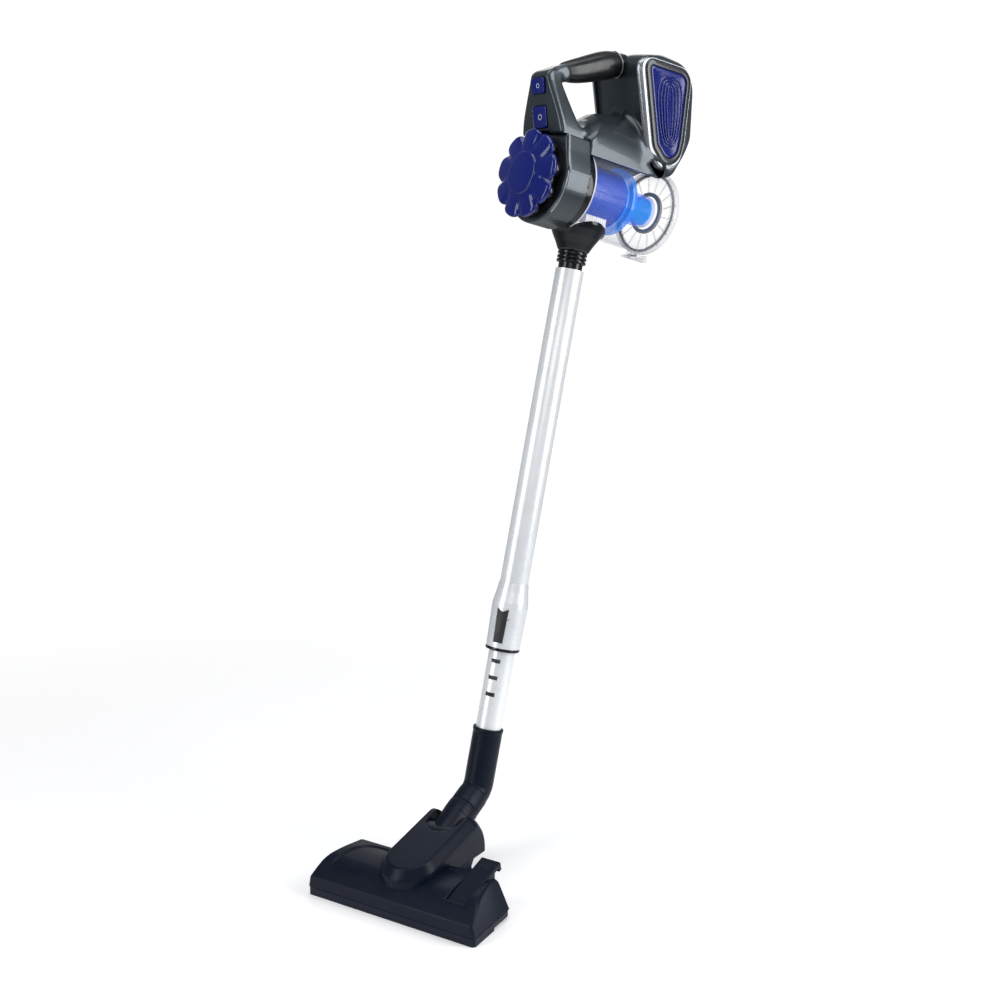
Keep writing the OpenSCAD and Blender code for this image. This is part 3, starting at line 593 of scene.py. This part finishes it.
inlet = [(16.6, -135), (16.6, -97), (14.9, -96), (14.9, -87), (18.2, -86.6), (18.2, -83.8), (16, -83.4),
         (16, -82.2), (18.2, -81.8), (18.2, -79), (16, -78.6), (16, -77.2), (18.2, -76.8), (18.2, -74),
         (17, -73.4), (19.4, -71.4), (23, -64), (28.6, -54.5), (32.8, -46), (34.6, -40), (35, -36),
         (27, -36), (25, -46), (21, -54), (15, -66), (12.6, -74), (12.6, -135)]
lathe("inlet_neck_skin", inlet, BODY, "cup_unit", BLACK_GLOSS, r=0.8, limit=on_cup, replaces="inlet_neck",
      slot="black_shell")


def mask_outline(x, z, grow=0.0):
    ring = np.sqrt(x * x + z * z) - 54
    s, c = 0.258, 0.966
    flat = np.maximum(z - 50, (np.abs(x) - 53.4) * c + (z - 8) * s)
    upper = np.maximum(flat, 8 - z)
    return smin(ring, upper, 4) - grow


def front_mask(x, y, z):
    d = smax(mask_outline(x, z), -74 - y, 5.0)
    d = smax(np.maximum(d, y + 38), z - 50, 0.6)
    hole = np.sqrt(x * x + z * z)
    d = smax(d, -np.maximum(hole - 46, y + 45), 1.2)
    return np.maximum(d, -(hole - 30))


solid("front_mask_skin", front_mask, (-54, -74, -54), (54, -38, 50.4), 1.3, BODY, "cup_unit", GRAPHITE,
      replaces="front_mask", slot="graphite_paint", sharp=50)
MASK_EDGE_R = 53.2
mask_edge = [(MASK_EDGE_R * math.sin(math.radians(a)), -71.6, -MASK_EDGE_R * math.cos(math.radians(a)))
             for a in range(40, 101, 5)]
mask_edge += [(52.2, -71.4, 12), (43.2, -71.4, 48), (42.6, -71.4, 49.3)]
pillar_edge = [(37.2, -75.2, 50.9), (36.4, -75.9, 56), (16.4, -93.2, 108), (13.6, -95.0, 118)]
# Painted highlight: thin light lines along the front edges of the mask and the pillar, where the bevels catch
# the light.
for side, word in SIDES:
    for name, line, r, body in (("mask_edge", mask_edge, 0.9, "cup_unit"),
                                ("pillar_edge", pillar_edge, 0.8, "power_unit")):
        trim(f"{name}_{word}", [(x * side, y, z) for x, y, z in line], r, BODY, body, EDGE_GLINT,
             slot="graphite_paint", sharp=80)

turned("cup_collar_skin", [(46, -38), (51.6, -38), (51.6, -27), (46, -27)], BLACK_GLOSS, "black_trim", r=1.0,
       replaces="cup_collar")
# The cup's front rim, painted pale as its glint.
turned("cup_front_bead", [(49, -27), (51.2, -27), (51.2, -24.6), (49, -24.6)], RIM_GLINT, "clear_cup", r=0.8)
turned("dust_cup_skin", [(48.5, -27), (50.5, -27), (50.5, 105.7), (48.5, 105.7)], CLEAR, "clear_cup", r=0.5,
       seg=160, replaces="dust_cup")
turned("cup_rear_bead", [(48.6, 101), (51.3, 101), (51.3, 105.5), (48.6, 105.5)], CLEAR_EDGE, "clear_cup",
       r=0.8)
turned("screen_skin", [(33.6, -22), (34.6, -22), (34.6, 40), (33.6, 40)], SCREEN, "mesh", r=0.2,
       replaces="mesh_screen")
turned("cyclone_front_ring", [(30, -38), (37, -38), (37, -24), (34.5, -22), (30, -22)], BLUE_CLEAR,
       "blue_clear", r=0.6, replaces="cyclone_body")
turned("cyclone_flange", [(18, 40), (36, 40), (36, 44), (41, 45), (41.3, 48), (41, 52), (18, 52)], CYAN,
       "blue_clear", r=1.0)
turned("outlet_tube_skin", [(17, 52), (21, 52), (20.4, 70), (19.6, 104), (17, 104)], OUTLET, "blue_clear",
       r=0.8, replaces="outlet_tube")
turned("outlet_disc_skin", [(0.01, 98), (17, 98), (17, 101), (13, 101.2), (12, 100.2), (0.01, 100.2)],
       CYAN_DISC, "cyan_disc", r=0.5, closed=False, replaces="outlet_disc")
RIB_FACES = [(0, 1, 3, 2), (4, 6, 7, 5), (0, 4, 5, 1), (2, 3, 7, 6), (0, 2, 6, 4), (1, 5, 7, 3)]
rib = np.array([(t, s, r) for r in (31, 33.4) for s in (-22, 40) for t in (-2, 2)], float)
for i in range(6):
    a = math.radians(i * 60)
    rot = np.array([[math.cos(a), 0, math.sin(a)], [0, 1, 0], [-math.sin(a), 0, math.cos(a)]])
    piece(f"cyclone_rib_{i}", rib @ rot.T, RIB_FACES, BODY, "cup_unit", BLUE_CLEAR, slot="blue_clear")


def comb(x, y, z):
    d = box_field(x, y, z, (15, -13, -38.6), (28, 21, -37), 0.4)
    teeth, pitch = 10, 3.4
    for i in range(teeth):
        d = np.minimum(d, box_field(x, y, z, (15, -12 + i * pitch, -38.2), (28, -10.6 + i * pitch, -29), 0.5))
    return d


solid("comb_teeth", comb, (15, -13, -39), (28, 21, -29), 0.6, BODY, "cup_unit", WHITE, fit=1,
      slot="clear_cup")
HINGE_Y, HINGE_Z = 105, 56.8


def cup_lugs(x, y, z):
    d = np.full(np.broadcast(x, y, z).shape, 1e9)
    for side in (-1, 1):
        u = x * side
        d = np.minimum(d, box_field(u, y, z, (6.3, 88, 48.2), (10.1, 100, 59.9), 0.8))
        d = np.minimum(d, box_field(u, y, z, (6.3, 97, 53.3), (10.1, 105, 59.9), 0.8))
        round_end = np.sqrt((y - HINGE_Y) ** 2 + (z - HINGE_Z) ** 2) - 3.5
        d = np.minimum(d, smax(np.abs(u - 8.2) - 1.9, round_end, 0.5))
    return d


def cup_feet(x, y, z):
    return box_field(np.abs(x), y, z, (6.6, 94, -59.8), (8.9, 102, -49.4), 0.7)


solid("cup_lugs", cup_lugs, (-10.2, 88, 47), (10.2, 109, 60), 0.8, BODY, "cup_unit", GRAPHITE, fit=1,
      slot="clear_cup")
solid("cup_feet", cup_feet, (-9, 94, -60), (9, 102, -49), 0.8, BODY, "cup_unit", CLEAR_EDGE, fit=1,
      slot="clear_cup")


# ---- Rear cap ----
cap_ring = [(46.6, 107.5), (49.4, 107.5), (49.4, 106), (52.5, 106), (52.5, 113), (51.5, 114), (49.5, 114),
            (49.5, 110.4), (46.6, 110)]
turned("cap_rim_skin", cap_ring, CLEAR_EDGE, "clear_cup", body="cap", r=0.5, replaces="cup_cap")
turned("cap_plate", [(26, 108.6), (49.5, 108.6), (49.5, 110), (26, 110)], CLEAR, "clear_cup", body="cap",
       r=0.3)
turned("cap_boss_skin", [(21, 106.2), (26, 106.2), (26, 110.2), (22.5, 110.6), (21, 108.6)], GREY,
       "grey_plastic", body="cap", r=0.6, replaces="cap_boss")
turned("cap_window", [(0.01, 106.6), (21, 106.6), (21, 108.2), (0.01, 108.2)], CLEAR, "clear_cup", body="cap",
       r=0.3, closed=False)


def cap_ribs(x, y, z):
    d = np.full(np.broadcast(x, y, z).shape, 1e9)
    ribs = 16
    for i in range(ribs):
        a = math.radians(11 + i * 360 / ribs)
        u, w = x * math.cos(a) - z * math.sin(a), x * math.sin(a) + z * math.cos(a)
        d = np.minimum(d, box_field(u, y, w, (-0.7, 109.6, 27), (0.7, 111.6, 49.6), 0.3))
    return d


def cap_knuckle(x, y, z):
    d = smax(np.abs(x) - 5.8, np.sqrt((y - HINGE_Y) ** 2 + (z - HINGE_Z) ** 2) - 3.1, 0.5)
    return np.minimum(d, box_field(x, y, z, (-5.8, 106.2, 49), (5.8, 108.1, 57), 0.6))


solid("cap_knuckle", cap_knuckle, (-6, 101, 49), (6, 109, 60), 0.7, BODY, "cap", GRAPHITE, fit=1,
      slot="clear_cup")
solid("cap_ribs", cap_ribs, (-50, 109, -50), (50, 112, 50), 0.7, BODY, "cap", CLEAR_EDGE, fit=1,
      slot="clear_cup")


def latch(x, y, z):
    d = box_field(x, y, z, (-5.9, 82.1, -60.9), (5.9, 117.9, -58.1), 0.9)
    d = smin(d, box_field(x, y, z, (-5.9, 114.7, -60.9), (5.9, 117.9, -53.3), 0.9), 0.8)
    d = smin(d, smax(np.abs(x) - 5.9, np.sqrt((y - 98) ** 2 + (z + 56.5) ** 2) - 3.3, 0.5), 0.8)
    for i in range(4):
        d = smax(d, -(np.sqrt((y - 85 - i * 2.2) ** 2 + (z + 61.4) ** 2) - 0.8), 0.3)
    return d


solid("cap_latch_skin", latch, (-6, 82, -61), (6, 118, -53), 0.7, BODY, "latch", CLEAR_EDGE,
      replaces="cap_latch", slot="clear_cup")


# ---- Front knob ----
LOBE_ANGLE = 40
PETAL_R, PETAL_DIP = 52.75, 6.3
RIDGE_HEIGHT, RIDGE_WIDTH = 0.9, 0.09


def off_crest(k):
    """Degrees from the crest of the nearest of the knob's nine lobes."""
    return (k - 90 + LOBE_ANGLE / 2) % LOBE_ANGLE - LOBE_ANGLE / 2


def petal(k):
    s = abs(off_crest(k)) / (LOBE_ANGLE / 2)
    return PETAL_R - PETAL_DIP * s ** 3


def flute(k):
    """The skirt's outline: a round core with a lobe of radius rho, centred at c, under each petal."""
    c, rho, core = 38, 9, 40.5
    d = math.radians(off_crest(k))
    inside = rho ** 2 - (c * math.sin(d)) ** 2
    return max(core, c * math.cos(d) + math.sqrt(inside)) if inside > 0 else core


def lobed(levels, outline):
    """Loops about the knob's axis: each level is (share of the outline, added radius, depth, groove)."""
    loops = []
    for share, added, y, groove in levels:
        loop = []
        for k in range(360):
            r = added + share * outline(k)
            d = abs(off_crest(k)) / (LOBE_ANGLE / 2)
            ridge = RIDGE_HEIGHT * math.exp(-((1 - d) / RIDGE_WIDTH) ** 2) * min(1, groove)
            depth = y + groove * d ** 4 - ridge
            loop.append((r * math.cos(math.radians(k)), depth, r * math.sin(math.radians(k))))
        loops.append(loop)
    return loops


levels = [(0, 0.01, -99.9, 0), (0, 22.6, -99.8, 0), (0, 24.2, -99.5, 0), (0, 24.9, -98.9, 0),
          (0, 25.6, -97.7, 0.1)]
FACE_STEPS = 14
for k in range(1, FACE_STEPS + 1):
    t = k / FACE_STEPS
    levels.append((t, 26.4 * (1 - t) - 2.6 * t, -97.4 + 3.0 * t ** 1.4, 4.0 * t))
levels += [(1, -1.5, -93.9, 3.8), (1, -0.6, -93.1, 3.4), (1, 0, -91.9, 2.4), (1, 0, -90.4, 1.0),
           (1, -0.5, -88.6, 0), (1, -1.4, -88, 0), (0, 30, -88, 0)]
rings("filter_knob_skin", lobed(levels, petal), BODY, "knob", BLUE, replaces="filter_knob",
      slot="blue_gloss", sharp=30)
levels = [(1, -12, -88, 0), (1, -1, -88, 0), (1, 0, -87, 0), (1, 0, -78, 0), (1, -1.2, -76.4, 0),
          (1, -2.2, -74.2, 0), (1, -14, -74.2, 0)]
rings("knob_skirt_skin", lobed(levels, flute), BODY, "knob", BLACK_GLOSS, replaces="knob_skirt",
      slot="black_trim", sharp=50)


# ---- Power unit housing ----
POD_NARROW = [(36, 160, 17), (74, 170, 18), (108, 130, 20)]
POD_WIDE = [(34, 157, 14), (86, 154, 18), (100, 84, 17), (87, 57, 18), (70, 66, 16)]
HAND_HOLE = [(-66, 112, 9), (-47, 74, 9), (-14, 98, 9), (-20, 122, 9)]
FRONT_END = [(-87, 114, 9), (-69, 124, 10)]


def housing_field(x, y, z):
    pod = smax(hull2(x, y, z, POD_NARROW, POD_WIDE, 12, 45), np.abs(x) - 45, 6)
    saddle = hull2(x, y, z, [(-30, 58, 16), (-4, 78, 16), (40, 84, 18)],
                   [(-38, 46, 0), (74, 46, 0), (-38, 30, 0), (74, 30, 0)], 6, 46, 0.65)
    saddle = smax(saddle, np.abs(x) - 46, 3)
    pillar = hull2(x, y, z, [(-88, 112, 9), (-82, 112, 9), (-32, 62, 12)],
                   [(-77, 46, 0), (-38, 46, 0), (-77, 54, 0), (-38, 54, 0)], 15, 40, 0.15)
    pillar = smax(pillar, np.abs(x) - (38 - 22 * step01((z - 50) / 80)), 5)
    hole = hull2(x, y, z, HAND_HOLE, HAND_HOLE, 0, 1)
    pillar = smax(pillar, -hole, 5)
    front = smax(hull2(x, y, z, FRONT_END, FRONT_END, 0, 1), np.abs(x) - 15.5, 7)
    d = smin(pod, saddle, 20)
    d = smin(d, pillar, 8)
    return smin(d, front, 4)


def housing(x, y, z):
    d = housing_field(x, y, z)
    d = smax(d, -(np.sqrt(x * x + z * z) - 53.5), 0.8)
    d = smax(d, 34.6 - z, 1.2)
    d = smax(d, -box_field(x, y, z, (-70, -140, -20), (70, -38.2, 50.3), 0), 0.8)
    px, py, pz = local(PANEL, BODY, x, y, z)
    for lo, hi in (((-11.8, 8.2, -9), (11.8, 26.8, 8)), ((-12.8, -30.8, -9), (12.8, -5.2, 8))):
        d = smax(d, -box_field(px, py, pz, lo, hi, 2.5), 0.5)
    return np.maximum(d, -box_field(x, y, z, (-11.6, 84, 30), (11.6, 112, 61.5), 1))


solid("housing_skin", housing, (-46, -97, 34), (46, 128.5, 188.5), 1.6, BODY, "power_unit", GRAPHITE,
      replaces=("housing_left", "housing_right"), slot="graphite_paint", sharp=60)

GRIP_LINE = [(-68, 126, 7), (-64, 127.5, 11), (-52, 131.8, 13.4), (-40, 136.6, 14.8), (-26, 143, 16),
             (-12, 149.6, 16.8), (0, 154.6, 17), (10, 158.4, 15.8), (20, 162, 13.2), (26, 163.5, 12.4)]
GRIP_STEPS = 50
grip_at = np.linspace(0, 1, len(GRIP_LINE))
grip = np.array([np.interp(np.linspace(0, 1, GRIP_STEPS), grip_at, row) for row in zip(*GRIP_LINE)]).T
for _ in range(3):
    grip[1:-1] = (grip[:-2] + 2 * grip[1:-1] + grip[2:]) / 4
sweep("grip_skin", [(0, y, z) for y, z, _ in grip], grip[:, 2], BODY, "power_unit", GRIP, seg=72,
      squeeze=0.95, replaces="grip", slot="grip_soft", sharp=60)
GRIP_SLOPE_Y, GRIP_SLOPE_Z = -0.37, 0.93
ring_at = [(14.6 * math.cos(a), 13.5 + GRIP_SLOPE_Y * 15.2 * math.sin(a),
            159.6 + GRIP_SLOPE_Z * 15.2 * math.sin(a))
           for a in circle(48)]
# Painted highlight: a thin light ring round the grip.
trim("grip_trim", ring_at, 0.9, BODY, "power_unit", EDGE_GLINT, ring=True, slot="graphite_paint", sharp=80)

# ---- Vent panels ----
VENT = [(36.5, 156, 13), (82, 152.5, 19), (88, 88, 18.6), (84, 76, 22), (72, 80, 18)]
# Loops of the painted highlight band round the vent; the third value widens it at the front and bottom.
BAND_LOOPS = [(0.2, 45.6, 0), (0.0, 45.9, 0), (-0.8, 46.0, 1), (-1.0, 45.9, 3), (-1.0, 45.4, 5),
              (-1.0, 44.2, 6.4), (-1.0, 42.0, 7.4), (-1.0, 39.5, 7.8)]
FRAME_LOOPS = [(0.0, 44.2), (0.1, 46.2), (0.8, 47.1), (1.8, 47.5), (6.8, 47.8), (7.5, 47.6), (7.9, 46.6),
               (7.95, 45.0)]
COVER_LOOPS = [(8.1, 45.0), (8.1, 46.3), (8.5, 46.9), (9.4, 47.1), (11.5, 46.9)]
BEAD_Y, BEAD_Z = 73.5, 115
LEAN_SIN, LEAN_COS = 0.235, 0.972


def vent_loop(inset, x, skew=0.0, count=200):
    """The vent's outline at a distance inside its edge; skew moves the front and bottom outwards."""
    pts = []
    for k in range(count):
        c, s = math.cos(2 * math.pi * k / count), math.sin(2 * math.pi * k / count)
        best = max(VENT, key=lambda p: p[0] * c + p[1] * s + p[2])
        r = max(best[2] - inset + skew * step01(0.5 - 0.8 * (c * 0.6 + s * 0.8)), 0.4)
        pts.append([best[0] + r * c, best[1] + r * s])
    pts = np.array(pts + pts[:1])
    run = np.concatenate([[0], np.cumsum(np.linalg.norm(np.diff(pts, axis=0), axis=1))])
    want = np.linspace(0, run[-1], count, endpoint=False)
    return [(x, np.interp(w, run, pts[:, 0]), np.interp(w, run, pts[:, 1])) for w in want]


def vent_bead(a, b, r, x, count=120):
    """A raised closed bead on the panel: a long tapered loop, drawn as rings of a small tube."""
    t = circle(count)
    along = a * np.sign(np.sin(t)) * np.abs(np.sin(t)) ** 0.75
    across = b * np.sign(np.cos(t)) * np.abs(np.cos(t)) ** 0.6 * (1 + 0.24 * along / 42)
    path = np.stack([BEAD_Y - LEAN_SIN * along + LEAN_COS * across,
                     BEAD_Z + LEAN_COS * along + LEAN_SIN * across], 1)
    run = np.roll(path, -1, 0) - np.roll(path, 1, 0)
    run /= np.linalg.norm(run, axis=1)[:, None]
    out = []
    for p, d in zip(path, run):
        out.append([(x + r * 0.9 * math.sin(w), p[0] + r * math.cos(w) * d[1], p[1] - r * math.cos(w) * d[0])
                    for w in circle(TRIM_SIDES)])
    return out + out[:1]


for side, word in SIDES:
    place = BODY @ Matrix.Scale(side, 4, (1, 0, 0))
    # Painted highlight: a light band round each vent, widest at the front and bottom, where the edge bevel
    # catches the light.
    rings(f"vent_band_{word}", [vent_loop(*row) for row in BAND_LOOPS], place, "power_unit", EDGE_GLINT, cap=False,
          slot="graphite_paint", sharp=60)
    rings(f"vent_frame_{word}_skin", [vent_loop(*row) for row in FRAME_LOOPS], place, "power_unit", FRAME,
          cap=False, replaces=f"vent_frame_{word}", slot="graphite_paint", sharp=60)
    rings(f"vent_cover_{word}_skin", [vent_loop(*row) for row in COVER_LOOPS], place, "power_unit", BLUE,
          replaces=f"vent_cover_{word}", slot="blue_gloss", sharp=60)
    for k in range(4):
        loops = vent_bead(40.5 - 3.6 * k, 18.6 - 4.7 * k, 1.5, 46.85)
        rings(f"vent_bead_{word}_{k}", loops, place, "power_unit", BLUE, cap=False, slot="blue_gloss",
              sharp=80)


# ---- Buttons ----
DISH_R = 60


def button(node, lo, hi):
    """A push button with round corners and a top that is dished by a large sphere."""
    def field(x, y, z):
        d = smax(box_field(x, y, 0.0, (lo[0], lo[1], -9), (hi[0], hi[1], 9), 3.6), np.abs(z - 0.1) - 3.1, 0.9)
        cx, cy = (lo[0] + hi[0]) / 2, (lo[1] + hi[1]) / 2
        dish = hi[2] + 58.9 - np.sqrt(np.maximum(0, DISH_R ** 2 - (x - cx) ** 2 - (y - cy) ** 2))
        return smax(d, z - (dish - 0.6 + 0.9), 0.8)
    solid(f"{node}_skin", field, lo, hi, 0.7, PANEL, node, BLUE, replaces=node, slot="blue_gloss", sharp=50)


button("power_button", (-11.3, 8.7, -3), (11.3, 26.3, 3.2))
button("speed_button", (-12.3, -30.3, -3), (12.3, -5.7, 3.2))
for name, at, r, body in (("power_mark", 17.5, 2.4, "power_button"),
                          ("speed_mark", -18, 3.0, "speed_button")):
    lathe(name, [(r - 0.4, 1.8), (r + 0.3, 1.8), (r + 0.3, 2.8), (r - 0.4, 2.8)], PANEL @ move(0, at, 0),
          body, SILVER, r=0.2, seg=48, slot="blue_gloss")


# ---- Studio: pale floor, soft light and the fitted camera ----
FOCAL_SHARE = 1.364175  # focal length over image width
SENSOR = 36
CAMERA_AT = (0.89046, -1.19385, 0.78263)
CAMERA_AZ, CAMERA_EL, CAMERA_ROLL = 32.78, 11.45, -0.41
FLOOR_R = 4


def studio():
    floor = bpy.data.meshes.new("floor")
    rim = [(math.cos(a) * FLOOR_R, math.sin(a) * FLOOR_R, 0) for a in circle(96)]
    floor.from_pydata(rim, [], [tuple(range(len(rim)))])
    mat = bpy.data.materials.new("pale_floor")
    mat.use_nodes = True
    nt = mat.node_tree
    bsdf = nt.nodes["Principled BSDF"]
    bsdf.inputs["Base Color"].default_value = (0.86, 0.86, 0.87, 1)
    bsdf.inputs["Roughness"].default_value = 0.55
    bsdf.inputs["Emission Color"].default_value = (1, 1, 1, 1)
    bsdf.inputs["Emission Strength"].default_value = 0.22
    where = shader(nt, "TexCoord")
    far = shader(nt, "VectorMath")
    far.operation = "LENGTH"
    nt.links.new(where.outputs["Object"], far.inputs[0])
    fade = shader(nt, "MapRange", From_Min=0.4, From_Max=1.5, To_Min=1, To_Max=0)
    nt.links.new(far.outputs["Value"], fade.inputs["Value"])
    nt.links.new(fade.outputs["Result"], bsdf.inputs["Alpha"])
    floor.materials.append(mat)
    obj = bpy.data.objects.new("floor", floor)
    bpy.context.scene.collection.objects.link(obj)

    world = bpy.data.worlds.new("studio")
    world.use_nodes = True
    nt = world.node_tree
    back = nt.nodes["Background"]
    seen = shader(nt, "Background", Color=(1, 1, 1, 1), Strength=1.05)
    back.inputs["Color"].default_value = (0.92, 0.95, 1, 1)
    back.inputs["Strength"].default_value = 0.24
    ray = shader(nt, "LightPath")
    pick = shader(nt, "MixShader")
    nt.links.new(ray.outputs["Is Camera Ray"], pick.inputs["Fac"])
    nt.links.new(back.outputs["Background"], pick.inputs[1])
    nt.links.new(seen.outputs["Background"], pick.inputs[2])
    nt.links.new(pick.outputs["Shader"], nt.nodes["World Output"].inputs["Surface"])
    bpy.context.scene.world = world
    bpy.context.scene.view_settings.view_transform = "Standard"

    target = Vector((0.03, 0.18, 0.55))
    right = Vector((0.841, 0.541, 0))
    near = Vector((0.541, -0.841, 0))
    rise = Vector((0, 0, 1))
    for name, at, size, watts in (
            ("left_softbox", target - right * 1.5 + near * 0.9 + rise * 0.5, (0.7, 1.9), 17),
            ("right_softbox", target + right * 1.5 + near * 0.5 + rise * 0.5, (0.7, 1.9), 26),
            ("top_softbox", target + near * 0.2 + rise * 1.7, (1.6, 1.2), 16),
            ("front_fill", target + near * 2.2 + rise * 0.7, (1.2, 0.5), 3),
            ("rear_fill", target - near * 1.8 + rise * 0.8, (1.4, 1.4), 7)):
        lamp = bpy.data.lights.new(name, "AREA")
        lamp.shape = "RECTANGLE"
        lamp.size, lamp.size_y = size
        lamp.energy = watts
        obj = bpy.data.objects.new(name, lamp)
        obj.location = at
        obj.rotation_euler = (target - at).to_track_quat("-Z", "Y").to_euler()
        bpy.context.scene.collection.objects.link(obj)

    az, el, roll = (math.radians(v) for v in (CAMERA_AZ, CAMERA_EL, CAMERA_ROLL))
    level = Vector((math.cos(az), math.sin(az), 0))
    ahead = Vector((-math.sin(az) * math.cos(el), math.cos(az) * math.cos(el), -math.sin(el)))
    above = level.cross(ahead)
    lens = bpy.data.cameras.new("camera")
    lens.sensor_width = SENSOR
    lens.lens = FOCAL_SHARE * SENSOR
    camera = bpy.data.objects.new("camera", lens)
    image_x = level * math.cos(roll) + above * math.sin(roll)
    image_y = above * math.cos(roll) - level * math.sin(roll)
    m = Matrix((image_x, image_y, -ahead)).transposed().to_4x4()
    m.translation = Vector(CAMERA_AT)
    camera.matrix_world = m
    bpy.context.scene.collection.objects.link(camera)
    bpy.context.scene.camera = camera


studio()
